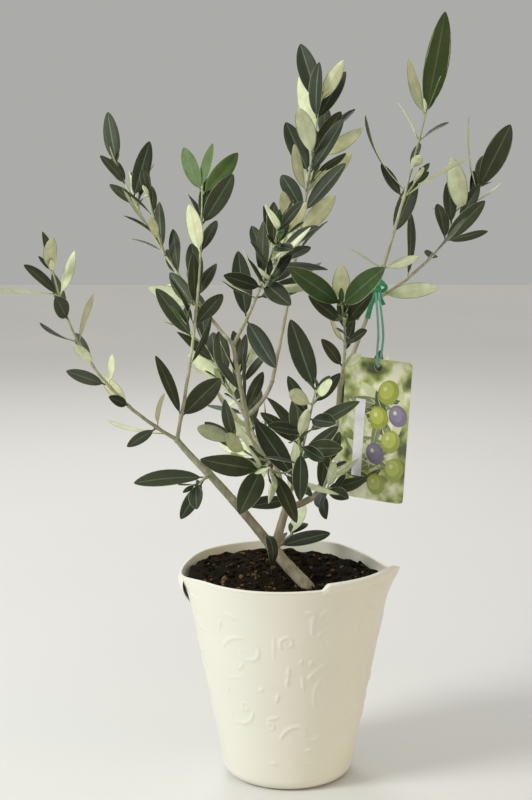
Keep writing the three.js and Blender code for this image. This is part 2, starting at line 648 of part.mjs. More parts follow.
function tieSpace() {
  const { point, knot, hole } = tieFrame();
  return [point, knot, knot.clone().lerp(hole, 0.33), knot.clone().lerp(hole, 0.66)];
}

function inCard(p) {
  const { hole, right, up, front } = tieFrame();
  const from = p.clone().sub(hole);
  const height = from.dot(up);
  const clear = STEM_CLEAR;
  return Math.abs(from.dot(right)) < TAG.width / 2 + clear
    && height < TAG.holeDrop + clear
    && height > TAG.holeDrop - TAG.height - clear
    && Math.abs(from.dot(front)) < 2 * clear;
}

// A card with rounded corners, punched near its top edge, whose own origin is the hole.
function makeCard() {
  const { width, height, corner, hole, holeDrop, thickness } = TAG;
  const [left, right, top, bottom] = [-width / 2, width / 2, holeDrop, holeDrop - height];
  const outline = new THREE.Shape();
  outline.absarc(right - corner, top - corner, corner, 0, Math.PI / 2);
  outline.absarc(left + corner, top - corner, corner, Math.PI / 2, Math.PI);
  outline.absarc(left + corner, bottom + corner, corner, Math.PI, 1.5 * Math.PI);
  outline.absarc(right - corner, bottom + corner, corner, 1.5 * Math.PI, 2 * Math.PI);
  outline.holes.push(new THREE.Path().absarc(0, 0, hole, 0, 2 * Math.PI, true));
  const settings = { depth: thickness, bevelEnabled: false, curveSegments: 4 };
  const geometry = new THREE.ExtrudeGeometry(outline, settings);
  geometry.translate(0, 0, -thickness / 2);
  geometry.rotateX(Math.PI / 2);
  const { hole: spot, turned } = tieFrame();
  const hanger = new THREE.Group();
  hanger.position.copy(spot);
  hanger.rotation.copy(turned);
  root.add(hanger);
  place('tag', geometry, 0x9fae6b, 0.35, hanger);
}

// A collar round the stem, a knot in front of it with two short ends, and a loop through the card.
function makeTie() {
  const { point, dir, knot, hole, right, up, front } = tieFrame();
  const collarRadius = SHOOT_RADIUS[0] + GAP + TIE.band;
  const collar = new THREE.TorusGeometry(collarRadius, TIE.band, 6, 12);
  collar.applyQuaternion(new THREE.Quaternion().setFromUnitVectors(UP, dir));
  collar.translate(point.x, point.y, point.z);
  const lump = new THREE.IcosahedronGeometry(TIE.knot, 1);
  lump.scale(1.15, 0.7, 1);
  lump.translate(knot.x, knot.y, knot.z);
  let solid = solidOf(collar).add(solidOf(lump));
  for (const lean of TIE.endLeans) {
    const [width, thickness, length] = TIE.end;
    const end = new THREE.BoxGeometry(width, thickness, length);
    end.translate(0, -1, length / 2);
    end.rotateY(radians(lean));
    end.translate(knot.x, knot.y, knot.z);
    solid = solid.add(solidOf(end));
  }
  const [inHole, atHole] = [TAG.hole * 0.3, TAG.hole * 0.9];
  const arm = (side, height, out) => at(hole, [right, side], [up, height], [front, out]);
  const route = new THREE.CatmullRomCurve3([
    at(knot, [right, -1.5]), arm(-1.6, 26, 2.6), arm(-0.8, 11, 2.2), arm(-0.2, atHole, 1.6),
    arm(0, inHole, 0), arm(0.2, atHole, -1.6), arm(1.4, 11, -2), arm(2.4, 26, -1.2),
    at(knot, [right, 1.5]),
  ]);
  const square = new THREE.Shape();
  const half = TIE.strand;
  square.setFromPoints([[-half, -half], [half, -half], [half, half], [-half, half]]
    .map(([x, y]) => new THREE.Vector2(x, y)));
  const loop = new THREE.ExtrudeGeometry(square, { steps: 36, extrudePath: route, bevelEnabled: false });
  place('tag_tie', geometryOf(solid.add(solidOf(loop))), 0x1f8a5c, 0.45);
}

// ---------------------------------------------------------------- assembly

layOut();
makePot();
makeSoil();
for (const { name } of LIMBS) makeLimb(limbs[name]);
const taken = [];
for (const { name } of SHOOTS) makeMass(limbs[name], taken);
makeCard();
makeTie();

export default root;
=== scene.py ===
# Potted olive tree: bark, leaves, pot, soil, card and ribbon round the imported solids.
#
# The plant's rule is written here again with the sizes of its source, so every stem and leaf stands
# where its solid does. It is then carried on to buds, young leaves and short side shoots.
# Sizes are millimetres until a mesh is made, which turns them into metres. A direction is a pair of
# degrees: the bearing, from +X towards +Y, and the climb.
import json
from math import acos, copysign, cos, exp, hypot, pi, radians, sin, sqrt

import bpy
import numpy as np
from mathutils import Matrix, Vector, noise

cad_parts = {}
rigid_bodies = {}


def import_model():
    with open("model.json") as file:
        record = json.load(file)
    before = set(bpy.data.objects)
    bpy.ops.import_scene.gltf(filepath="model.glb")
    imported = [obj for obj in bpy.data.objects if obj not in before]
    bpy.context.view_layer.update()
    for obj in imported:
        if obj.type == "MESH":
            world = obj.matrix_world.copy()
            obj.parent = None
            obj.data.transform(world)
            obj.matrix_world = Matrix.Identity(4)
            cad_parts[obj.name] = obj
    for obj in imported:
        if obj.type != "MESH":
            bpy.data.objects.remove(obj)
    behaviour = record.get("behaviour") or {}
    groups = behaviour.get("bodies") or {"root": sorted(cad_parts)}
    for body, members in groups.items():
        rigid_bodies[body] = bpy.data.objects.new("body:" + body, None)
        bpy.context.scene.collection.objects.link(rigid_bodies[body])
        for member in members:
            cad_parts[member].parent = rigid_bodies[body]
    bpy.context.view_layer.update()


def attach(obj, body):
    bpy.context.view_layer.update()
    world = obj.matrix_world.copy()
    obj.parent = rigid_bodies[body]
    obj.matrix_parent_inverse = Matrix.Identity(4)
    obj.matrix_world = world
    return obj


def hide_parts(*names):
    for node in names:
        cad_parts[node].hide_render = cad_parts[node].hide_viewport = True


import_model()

MM = 0.001

# The stems waver by vector noise, which differs from run to run unless it has a seed.
noise.seed_set(1)

# ---- sizes shared with the source

GAP = 0.3
POT = {"height": 156, "rim": 75.9, "foot": 45.5, "foot_round": 6, "wall": 2.4, "floor": 4}
LIP = {"roll": 2.6, "rise": 4, "from": -73, "step": 4, "to": -8, "fade": 12}
EAR = {"bearing": 178, "width": 18, "depth": 21, "size": 4}
# Places round the rim: the bearing, half the width in degrees, and the size.
CORNERS = ((3, 12, 5), (184, 38, 3))
DIPS = ((20, 50, 7), (184, 38, 4.8), (-115, 60, 1.2))
CORNER_DEPTH = 31
SOIL_LEVEL = 145
SOIL_SLOPE = (-0.05, 0.03)
TRUNK_FOOT = {"x": 13.5, "y": -22, "flare": 1.45}
STEPS = 12
STUB_MIN = 3
LEAF_FOOT = 2.2

# Bare wood: name, parent, first and last direction, length, and radius at the foot and the tip.
LIMBS = [
    ("trunk", None, (147.5, 35.5, 144, 40), 36, (4.8, 4.3)),
    ("bough_left_low", "trunk", (-170.5, 53.5, -170, 48), 74.5, (3.6, 2.8)),
    ("bough_left_high", "bough_left_low", (-170, 44, -170, 52), 34, (2.6, 2.1)),
    ("bough_fork", "trunk", (37.5, 72, 32, 69), 31.5, (3.3, 2.9)),
    ("bough_right_low", "bough_fork", (4, 11, 5, 39), 26, (2.6, 2.4)),
    ("bough_right_high", "bough_right_low", (13, 70, 57, 85), 79, (2.2, 1.8)),
    ("bough_right_top", "bough_right_high", (18, 66, 20, 69), 65, (1.7, 1.5)),
    ("bough_centre_low", "bough_fork", (132, 73, 142, 69), 37, (2.3, 2.1)),
    ("bough_centre", "bough_centre_low", (168, 17, 64, 76), 40, (2.0, 1.8)),
    ("bough_centre_high", "bough_centre", (-172, 76, -166, 82), 53, (1.7, 1.5)),
    ("bough_top", "bough_centre", (5, 36, 11, 71), 31, (1.7, 1.5)),
]

SHOOT_RADIUS = (1.4, 0.6)
CROWDING = 0.85
# Leafy shoots. Twigs is how many side twigs there are, and twig how long they are. Over is where on the
# die the leaves that are turned over begin.
SHOOT_KEYS = ("name", "parent", "turn", "length", "pairs", "bare", "open", "leaf", "tip", "phase",
              "keep", "twigs", "twig", "seed", "over")
SHOOT_ROWS = [
    ("foliage_far_left", "bough_left_high", (-156, 31, -110, 68), 161, 8, 0.11,
     (50, 24), (28, 34), (38, 30), 0, 1, 0, 0, 585, 0.04),
    ("foliage_left", "bough_left_high", (65, 65, 91, 69), 188, 7, 0.09,
     (38, 12), (47, 31), (36, 12), 40, 0.85, 1, 22, 278, 0.64),
    ("foliage_long_left", "bough_centre_high", (147, 41, 136, 56), 169, 7, 0.24,
     (38, 12), (37, 28), (44, 24), 175, 0.9, 3, 38, 738, 0.64),
    ("foliage_mid_left", "bough_centre_high", (-66, 39, -80, 39), 138, 6, 0.24,
     (62, 20), (47, 34), (40, 32), 120, 1, 3, 34, 8, 0.8),
    ("foliage_top", "bough_top", (31, 76, 44, 80), 203, 10, 0.36,
     (52, 20), (40, 47), (50, 36), 45, 0.8, 1, 44, 441, 0.76),
    ("foliage_tall_right", "bough_right_top", (-38, 70, -49, 72), 140, 6, 0.18,
     (64, 24), (28, 28), (71, 36), 0, 0.8, 0, 0, 144, 0.12),
    ("foliage_outer_right", "bough_right_top", (37, 20, 51, 48), 140, 6, 0.26,
     (46, 16), (47, 28), (60, 52), 170, 0.85, 1, 28, 556, 0.64),
    ("foliage_inner_right", "bough_right_high", (-83, 43, -100, 40), 98, 7, 0.23,
     (34, 30), (28, 47), (54, 48), 165, 0.8, 1, 26, 158, 0.84),
    ("foliage_front", "bough_fork", (-75, 49, -81, 48), 131, 8, 0.09,
     (66, 36), (47, 31), (41, 51), 45, 1, 2, 34, 263, 0.76),
    ("foliage_low_centre", "bough_centre_low", (-103, -2, -98, 9), 59, 5, 0.03,
     (42, 20), (44, 44), (56, 40), 95, 1, 3, 34, 848, 0.84),
    ("foliage_low_left", "bough_left_low", (-103, -8, -106, 4), 32, 2, 0.25,
     (62, 12), (47, 43), (36, 29), 165, 0.7, 0, 0, 630, 0.68),
    ("foliage_low_right", "bough_right_low", (-76, 19, -81, 17), 36, 4, 0.09,
     (44, 16), (36, 28), (22, 38), 115, 1, 1, 26, 403, 0.5),
    ("foliage_base", "trunk", (68, 9, 66, 7), 31, 2, 0.21,
     (30, 12), (47, 34), (36, 45), 105, 1, 1, 24, 111, 0.44),
    ("foliage_back", "bough_fork", (112, 38, 140, 50), 150, 8, 0.2,
     (46, 24), (42, 42), (42, 40), 70, 1, 3, 40, 29, 0.56),
    ("foliage_back_right", "bough_right_low", (63, 21, 75, 31), 123, 6, 0.28,
     (46, 24), (42, 42), (42, 40), 25, 1, 2, 38, 533, 0.68),
]
SHOOTS = [dict(zip(SHOOT_KEYS, row)) for row in SHOOT_ROWS]

# Leaves that stand wide of the pairs: the stem, how far up it, the angle round it, the angle to it,
# and the leaf's length, bend and twist.
WIDE_LEAVES = [
    ("foliage_far_left", 0.9, 175, 70, 44, 10, -45),
    ("foliage_far_left", 0.05, 140, 40, 45, 14, 120),
    ("foliage_tall_right", 0.6, 165, 65, 61, 40, 140),
    ("foliage_tall_right", 0.57, 5, 40, 54, 10, 40),
    ("foliage_outer_right", 0.97, -160, 50, 58, 20, 165),
    ("foliage_outer_right", 0.8, -150, 60, 46, 15, -70),
    ("foliage_left", 0.85, -10, 30, 46, 10, -65),
    ("foliage_left", 0.4, -165, 45, 45, 10, 60),
    ("foliage_low_left", 0.4, 140, 65, 33, 20, 20),
    ("foliage_long_left", 0.82, -10, 45, 46, 8, -75),
    ("foliage_outer_right", 0.58, -90, 25, 46, 10, -60),
    ("foliage_outer_right", 0.07, -110, 55, 43, 10, 55),
    ("foliage_tall_right", 0.36, 70, 25, 45, 10, -25),
    ("foliage_tall_right", 0.985, 178, 34, 42, 12, 178),
    ("foliage_left", 0.985, 172, 24, 40, 10, 50),
    ("foliage_left", 0.975, -4, 40, 42, 8, -78),
]

BLADE = {"width": 0.142, "upward": 0.42, "light": (-0.35, -0.75, 0.55)}
LEAF_CLEAR = 4.2
OWN_LEAF_CLEAR = 2.2
TURNED_OVER = 0.34
STEM_CLEAR = 2.4
# Pieces whose middles are further apart than this can't touch.
FAR_APART = 90
LEAF_TRIES = 6
TURN_STEP = 37
TWIG = {"open": 42, "lift": 0.45, "radius": (1.0, 0.6), "leaf": 0.8, "pairs": 3, "bare": 0.3}

TAG = {"width": 50, "height": 102, "thickness": 0.6, "corner": 2, "hole": 2.8, "hole_drop": 6,
       "yaw": -25, "lean": 3.8, "hang": (0, -26, -53)}
TIE = {"stem": "foliage_tall_right", "at": 0.07, "band": 1.0, "knot": 3.6}

# ---- directions and the seeded die

UP = np.array([0.0, 0.0, 1.0])
BACK = np.array([0.0, 1.0, 0.0])


def unit(v):
    return v / np.linalg.norm(v)


def mix(a, b, part):
    return a + (b - a) * part


def heading(bearing, climb):
    b, c = radians(bearing), radians(climb)
    return np.array([cos(c) * cos(b), cos(c) * sin(b), sin(c)])


def smoothstep(x, start, end):
    t = np.clip((x - start) / (end - start), 0, 1)
    return t * t * (3 - 2 * t)


def dice(seed):
    """A seeded die: every call gives the next number from 0 to 1."""
    modulus = 2147483647
    state = (seed * 7919 + 104729) % modulus

    def roll():
        nonlocal state
        state = (state * 48271) % modulus
        return state / modulus

    for _ in range(3):
        roll()
    return roll


# ---- limb paths

class Path:
    """A line that starts at a point and turns evenly from one direction to another."""

    def __init__(self, start, first, last, length):
        self.length = length
        self.points = [np.array(start, float)]
        self.dirs = [unit(first)]
        for k in range(STEPS):
            step = unit(mix(first, last, (k + 0.5) / STEPS)) * length / STEPS
            self.points.append(self.points[-1] + step)
            self.dirs.append(unit(mix(first, last, (k + 1) / STEPS)))

    def at(self, fraction):
        x = min(max(fraction * STEPS, 0), STEPS - 1e-9)
        i = int(x)
        point = mix(self.points[i], self.points[i + 1], x - i)
        return point, unit(mix(self.dirs[i], self.dirs[i + 1], x - i))


def radial(direction, angle):
    """The direction that stands off a stem at an angle round it: 0 is right, 90 degrees the back."""
    side = unit(np.cross(BACK, direction))
    return side * cos(angle) + np.cross(direction, side) * sin(angle)


def lay_out():
    """Every limb and stem by name, with its path, radius and the length of its stub."""
    limbs = {}
    rows = [dict(zip(("name", "parent", "turn", "length", "radius"), row)) for row in LIMBS]
    for spec in rows + [{"radius": SHOOT_RADIUS, **shoot} for shoot in SHOOTS]:
        start = (TRUNK_FOOT["x"], TRUNK_FOOT["y"], SOIL_LEVEL + GAP)
        if spec["parent"]:
            start = limbs[spec["parent"]]["path"].points[-1]
        turn = spec["turn"]
        path = Path(start, heading(*turn[:2]), heading(*turn[2:]), spec["length"])
        wood = np.array([path.at(k / (2 * STEPS))[0] for k in range(2 * STEPS + 1)])
        limbs[spec["name"]] = {**spec, "path": path, "wood": wood}
    for limb in limbs.values():
        siblings = [other for other in limbs.values() if other["parent"] == limb["parent"]]
        limb["first_leaf"] = (stub_length(limb, siblings) + LEAF_FOOT) / limb["length"]
    return limbs


def stub_length(limb, siblings):
    """How far from the fork a limb is clear of the limbs that start with it."""
    length = STUB_MIN
    for other in siblings:
        if other is limb:
            continue
        cosine = np.clip(limb["path"].dirs[0].dot(other["path"].dirs[0]), -1, 1)
        apart = limb["radius"][0] + other["radius"][0] + 3 * GAP
        length = max(length, apart / (2 * sin(acos(cosine) / 2)))
    return length


# ---- leaves by the source's rule

def leaf_frame(stem_dir, around, opening, twist):
    """A leaf's own direction, its upper side, which turns to the light, and its right edge."""
    direction = stem_dir * cos(opening) + radial(stem_dir, around) * sin(opening)
    face = mix(stem_dir, unit(np.array(BLADE["light"])), BLADE["upward"])
    face = unit(face - direction * face.dot(direction))
    face = face * cos(twist) + np.cross(face, direction) * sin(twist)
    return {"dir": direction, "face": face, "side": np.cross(face, direction)}


def midrib(leaf, s):
    """Points on the midrib, which arches away from the upper side."""
    s = np.asarray(s, float)[..., None]
    turned = leaf["bend"] * s
    reach = leaf["length"] * np.sin(turned) / leaf["bend"]
    drop = leaf["length"] * (1 - np.cos(turned)) / leaf["bend"]
    return leaf["base"] + leaf["dir"] * reach - leaf["face"] * drop


def blade_samples(leaf):
    """Points over the blade, for measuring how near other pieces come, and how far up each is."""
    s = np.arange(1, 13) / 12
    half = leaf["length"] * BLADE["width"] * np.sin(np.pi * np.minimum(s, 0.98)) ** 0.6
    points = midrib(leaf, s)[:, None] + np.multiply.outer(half, [-1, 0, 1])[..., None] * leaf["side"]
    return np.repeat(s, 3), points.reshape(-1, 3)


def too_near(points, others, clearance):
    if len(points) == 0 or len(others) == 0:
        return False
    gaps = np.linalg.norm(points[:, None] - others[None], axis=2)
    return bool(gaps.min() < clearance)


class Plant:
    """Grows every mass by the rule, and remembers the space that each leaf and twig takes."""

    def __init__(self):
        self.limbs = lay_out()
        self.taken = []
        self.leaves = []
        self.stems = []
        self.tie = tie_frame(self.limbs)

    def fits(self, s, points, owner):
        if points[:, 2].min() < POT["height"] + 2 or in_card(points, self.tie).any():
            return False
        if too_near(points, tie_space(self.tie), TIE["knot"] + STEM_CLEAR):
            return False
        for name, limb in self.limbs.items():
            clear = limb["radius"][0] + STEM_CLEAR
            if name != owner and too_near(points[s > 0.15], limb["wood"], clear):
                return False
        for other in self.taken:
            if np.linalg.norm(other["middle"] - points.mean(0)) > FAR_APART:
                continue
            if other["owner"] != owner:
                if too_near(points, other["points"], LEAF_CLEAR):
                    return False
            elif too_near(points[s > 0.35], other["outer"], OWN_LEAF_CLEAR):
                return False
        return True

    def claim(self, owner, s, points, root):
        self.taken.append({"owner": owner, "points": points, "outer": points[s > root],
                           "middle": points.mean(0)})

    def add_leaf(self, owner, stem, around, opening, shape, twist):
        """Adds a leaf on a stem, turned on round it until it has room; False if it never has."""
        point, direction = stem
        for tries in range(LEAF_TRIES):
            turned = around + radians(TURN_STEP * tries)
            leaf = {"base": point, "owner": owner, "stem_dir": direction, **shape}
            leaf.update(leaf_frame(direction, turned, opening, twist))
            s, points = blade_samples(leaf)
            if self.fits(s, points, owner):
                self.leaves.append(leaf)
                self.claim(owner, s, points, 0.35)
                return True
        return False

    def grow_leaves(self, path, plan, roll, owner, kind):
        """Pairs of leaves up a stem, each pair a quarter turn round from the last."""
        for k in range(plan["pairs"]):
            part = k / (plan["pairs"] - 1)
            stem = path.at(mix(plan["bare"], 1, part ** CROWDING))
            turn = radians(plan["phase"] + 90 * k + 24 * (roll() - 0.5))
            for side in (0, 1):
                missing = roll() > plan["keep"] and k < plan["pairs"] - 1
                opening = radians(mix(*plan["open"], part) + 16 * (roll() - 0.5))
                length = mix(*plan["leaf"], part) * (1 + 0.3 * (roll() - 0.5))
                if k == plan["pairs"] - 1:
                    length = plan["tip"][side]
                bend = radians(10 + 30 * (roll() - 0.5))
                draw = roll()
                turned_over = (draw - plan["over"]) % 1 < TURNED_OVER
                twist = radians(110 * (draw - 0.5)) + (pi if turned_over else 0)
                around = turn + pi * side + radians(20 * (roll() - 0.5))
                if missing:
                    continue
                shape = {"length": length, "bend": bend, "kind": kind, "age": 1 - part}
                self.add_leaf(owner, stem, around, opening, shape, twist)

    def grow_twigs(self, shoot):
        """Side twigs leave the stem to the front and the back in turn, and lift to the light."""
        for j in range(shoot["twigs"]):
            roll = dice(shoot["seed"] + 500 + j)
            height = 0.1 + 0.6 * (j + roll()) / shoot["twigs"]
            point, direction = shoot["path"].at(mix(shoot["bare"], 1, height))
            around = radians(90 + 180 * j + 60 * (roll() - 0.5))
            opening = radians(TWIG["open"])
            first = direction * cos(opening) + radial(direction, around) * sin(opening)
            length = shoot["twig"] * (0.8 + 0.4 * roll())
            path = Path(point, first, mix(first, UP, TWIG["lift"]), length)
            s = np.arange(STEPS + 1) / STEPS
            points = np.array(path.points)
            if not self.fits(s[2:], points[2:], shoot["name"]):
                continue
            self.claim(shoot["name"], s, points, 0.2)
            leaf = [size * TWIG["leaf"] for size in shoot["leaf"]]
            plan = {**shoot, **TWIG, "open": shoot["open"], "leaf": leaf, "tip": [leaf[1]] * 2,
                    "keep": 1, "phase": 90 * roll()}
            self.stems.append({"path": path, "radius": TWIG["radius"], "plan": plan,
                               "owner": shoot["name"]})
            self.grow_leaves(path, plan, roll, shoot["name"], "twig")

    def grow_mass(self, shoot):
        plan = {**shoot, "bare": max(shoot["bare"], shoot["first_leaf"])}
        self.stems.append({"path": shoot["path"], "radius": shoot["radius"], "plan": plan,
                           "owner": shoot["name"]})
        for owner, at, around, opening, length, bend, twist in WIDE_LEAVES:
            if owner != shoot["name"]:
                continue
            stem = shoot["path"].at(max(at, shoot["first_leaf"]))
            shape = {"length": length, "bend": radians(bend), "kind": "wide", "age": 1 - at}
            around, opening, twist = [radians(angle) for angle in (around, opening, twist)]
            self.add_leaf(owner, stem, around, opening, shape, twist)
        self.grow_leaves(shoot["path"], plan, dice(shoot["seed"]), shoot["name"], "stem")
        self.grow_twigs(shoot)


# ---- young growth

TIP_LEAVES = (14, 7.5)
SIDE_SHARE = 0.14
OLD_LEAF = {"at": 0.17, "off": 3, "way": (-70, 28), "length": 32, "bend": 160}


def grow_young(plant):
    """Carries the rule on: small leaves at every tip, and short side shoots in the leaf angles."""
    roll = dice(617)
    for stem in list(plant.stems):
        point, direction = stem["path"].at(1)
        young_pairs(plant, stem["owner"], point + direction, direction, TIP_LEAVES, roll)
    for leaf in list(plant.leaves):
        if leaf["kind"] != "young" and leaf["age"] > 0.05 and roll() < SIDE_SHARE:
            side_shoot(plant, leaf, roll)


def young_pairs(plant, owner, point, direction, sizes, roll):
    """Pairs of young leaves round a tip, smaller and closer set towards its bud."""
    turn = 360 * roll()
    for k, size in enumerate(sizes):
        for side in (0, 1):
            shape = {"length": size * (0.85 + 0.3 * roll()), "bend": radians(9),
                     "kind": "young", "age": 0}
            around = radians(turn + 90 * k + 180 * side)
            stem = (point + direction * 1.3 * k, direction)
            plant.add_leaf(owner, stem, around, radians(30 - 10 * k), shape, 0)


def hang_old_leaf(plant):
    """An old curled leaf that hangs in front of the fork."""
    point, direction = plant.limbs["bough_left_low"]["path"].at(OLD_LEAF["at"])
    way = heading(*OLD_LEAF["way"])
    face = unit(UP - way * UP.dot(way))
    plant.leaves.append({"base": point + way * OLD_LEAF["off"], "owner": "foliage_base",
                         "stem_dir": direction, "dir": way, "face": face, "side": np.cross(face, way),
                         "length": OLD_LEAF["length"], "bend": radians(OLD_LEAF["bend"]),
                         "kind": "old", "age": 1})


def side_shoot(plant, leaf, roll):
    first = unit(mix(leaf["stem_dir"], leaf["dir"], 0.7))
    last = unit(mix(first, leaf["stem_dir"], 0.4))
    path = Path(leaf["base"], first, last, 9 + 8 * roll())
    s = np.arange(STEPS + 1) / STEPS
    points = np.array(path.points)
    if not plant.fits(s[4:], points[4:], leaf["owner"]):
        return
    plant.claim(leaf["owner"], s, points, 0.4)
    plant.stems.append({"path": path, "radius": (0.6, 0.42), "plan": {"pairs": 2, "bare": 0.6},
                        "owner": leaf["owner"], "young": True})
    for part, sizes in ((0.6, (19,)), (1, (14, 7))):
        young_pairs(plant, leaf["owner"], *path.at(part), sizes, roll)


# ---- where the card hangs

def tie_frame(limbs):
    """Where the ribbon is knotted and where it holds the card, with the card's own axes."""
    point, direction = limbs[TIE["stem"]]["path"].at(TIE["at"])
    knot = point - BACK * (SHOOT_RADIUS[0] + GAP + TIE["band"] + TIE["knot"] * 0.5)
    yaw, lean = TAG["yaw"], TAG["lean"]
    return {"point": point, "dir": direction, "knot": knot, "hole": point + np.array(TAG["hang"]),
            "right": heading(yaw, -lean), "front": heading(yaw - 90, 0), "up": heading(yaw, 90 - lean)}


def tie_space(tie):
    hang = tie["hole"] - tie["knot"]
    return np.array([tie["point"], tie["knot"], tie["knot"] + 0.33 * hang, tie["knot"] + 0.66 * hang])


def in_card(points, tie):
    away = points - tie["hole"]
    height = away @ tie["up"]
    beside = np.abs(away @ tie["right"]) < TAG["width"] / 2 + STEM_CLEAR
    over = height < TAG["hole_drop"] + STEM_CLEAR
    under = height > TAG["hole_drop"] - TAG["height"] - STEM_CLEAR
    return beside & over & under & (np.abs(away @ tie["front"]) < 2 * STEM_CLEAR)


# ---- closed skins

def quads(count, sides, closed=False):
    """Four-cornered faces between rings of corners, ring after ring."""
    for k in range(count if closed else count - 1):
        here, there = k * sides, (k + 1) % count * sides
        for i in range(sides):
            j = (i + 1) % sides
            yield here + i, here + j, there + j, there + i


class Skin:
    """Closed surfaces gathered into one mesh; each face has the number of its material."""

    def __init__(self):
        self.points = []
        self.faces = []
        self.looks = []
        self.count = 0

    def add(self, points, faces, looks):
        self.points.append(points)
        self.faces += [[i + self.count for i in face] for face in faces]
        self.looks += looks
        self.count += len(points)

    def loft(self, rings, looks=0, foot=None, tip=None):
        """A skin over rings of points, counter-clockwise round the way of travel. An end is capped by
        one face, or by a fan to its middle point. Looks is a number or a row of them for each step."""
        rings = np.asarray(rings, float)
        count, sides = rings.shape[:2]
        rows = [[looks] * sides] * count if isinstance(looks, int) else looks
        shades = [look for row in rows[:count - 1] for look in row]
        points = rings.reshape(-1, 3)
        faces = list(quads(count, sides))
        caps = []
        for middle, ring, row in ((foot, range(sides)[::-1], shades[:sides]),
                                  (tip, range((count - 1) * sides, count * sides), shades[-sides:])):
            if middle is None:
                faces.append(tuple(ring))
                caps.append(shades[0])
            else:
                faces += [(ring[i], ring[(i + 1) % sides], len(points)) for i in range(sides)]
                caps += row
                points = np.vstack([points, middle])
        self.add(points, faces, shades + caps)

    def hoop(self, rings, looks=0):
        """A skin over rings that close on themselves both round and along."""
        rings = np.asarray(rings, float)
        faces = list(quads(*rings.shape[:2], closed=True))
        looks = [looks] * len(faces) if isinstance(looks, int) else looks
        self.add(rings.reshape(-1, 3), faces, looks)

    def mesh(self, name):
        mesh = bpy.data.meshes.new(name)
        mesh.from_pydata((np.vstack(self.points) * MM).tolist(), [], self.faces)
        return mesh

    def make(self, name, materials, stands_for, crease=0):
        make_piece(name, self.mesh(name), self.looks, materials, stands_for, crease)


def add_object(name, data):
    """An object in the scene that shows a mesh, a light or a camera."""
    made = bpy.data.objects.new(name, data)
    bpy.context.scene.collection.objects.link(made)
    return made


def make_piece(name, mesh, looks, materials, stands_for, crease=0):
    """A mesh as a piece that rides on the plant's one body and the nodes that it
    stands for. It is smooth but for edges where its faces turn by more than crease degrees."""
    for material in materials:
        mesh.materials.append(material)
    mesh.polygons.foreach_set("material_index", np.array(looks, np.int32))
    mesh.validate()
    mesh.shade_smooth()
    if crease:
        mesh.set_sharp_from_angle(angle=radians(crease))
    piece = add_object(name, mesh)
    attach(piece, "root")
    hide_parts(*stands_for)


def turns(count):
    """Even angles once round."""
    return 2 * np.pi * np.arange(count) / count


def circle(centre, direction, radius, sides):
    """A ring round a direction; radius may be one number or one for each side."""
    side = unit(np.cross(BACK, direction))
    back = np.cross(direction, side)
    out = np.outer(np.cos(turns(sides)), side) + np.outer(np.sin(turns(sides)), back)
    return centre + out * np.reshape(radius, (-1, 1))


# ---- materials

def linear(code):
    """A colour written as six hex digits, as linear red, green and blue."""
    parts = [int(code[i:i + 2], 16) / 255 for i in (0, 2, 4)]
    return tuple(c / 12.92 if c < 0.04045 else ((c + 0.055) / 1.055) ** 2.4 for c in parts)


class Material:
    """A principled material with short calls for the nodes that the surfaces here need."""

    def __init__(self, name, code, roughness, **settings):
        self.colour = linear(code)
        self.material = bpy.data.materials.new(name)
        self.material.use_nodes = True
        self.nodes = self.material.node_tree.nodes
        self.links = self.material.node_tree.links
        self.shader = self.nodes["Principled BSDF"]
        self.shader.inputs["Base Color"].default_value = (*self.colour, 1)
        self.shader.inputs["Roughness"].default_value = roughness
        for key, value in settings.items():
            self.shader.inputs[key.replace("_", " ")].default_value = value
        self.place = self.nodes.new("ShaderNodeTexCoord").outputs["Object"]
        self.relief = None

    def noise(self, scale, detail=3, stretch=(1, 1, 1)):
        mapping = self.nodes.new("ShaderNodeMapping")
        mapping.inputs["Scale"].default_value = stretch
        self.links.new(self.place, mapping.inputs["Vector"])
        texture = self.nodes.new("ShaderNodeTexNoise")
        texture.inputs["Scale"].default_value = scale
        texture.inputs["Detail"].default_value = detail
        self.links.new(mapping.outputs["Vector"], texture.inputs["Vector"])
        return texture.outputs["Fac"]

    def cells(self, scale):
        texture = self.nodes.new("ShaderNodeTexVoronoi")
        texture.inputs["Scale"].default_value = scale
        self.links.new(self.place, texture.inputs["Vector"])
        return texture.outputs["Distance"]

    def mottle(self, pattern, *stops):
        """Base colour from a pattern through stops of its value, each with a colour's code or a factor
        for the material's own colour."""
        ramp = self.nodes.new("ShaderNodeValToRGB")
        band = ramp.color_ramp
        while len(band.elements) < len(stops):
            band.elements.new(0.5)
        for element, (position, tone) in zip(band.elements, stops):
            colour = linear(tone) if isinstance(tone, str) else [c * tone for c in self.colour]
            element.position = position
            element.color = (*(min(1.0, c) for c in colour), 1)
        self.links.new(pattern, ramp.inputs["Fac"])
        self.links.new(ramp.outputs["Color"], self.shader.inputs["Base Color"])

    def gloss(self, pattern, low, high):
        """Roughness that runs from low to high with a pattern."""
        span = self.nodes.new("ShaderNodeMapRange")
        span.inputs["To Min"].default_value = low
        span.inputs["To Max"].default_value = high
        self.links.new(pattern, span.inputs["Value"])
        self.links.new(span.outputs["Result"], self.shader.inputs["Roughness"])

    def bump(self, height, distance, strength):
        """Relief of a depth in millimetres; later calls lie on top of earlier ones."""
        node = self.nodes.new("ShaderNodeBump")
        node.inputs["Distance"].default_value = distance * MM
        node.inputs["Strength"].default_value = strength
        self.links.new(height, node.inputs["Height"])
        if self.relief:
            self.links.new(self.relief, node.inputs["Normal"])
        self.relief = node.outputs["Normal"]
        self.links.new(self.relief, self.shader.inputs["Normal"])


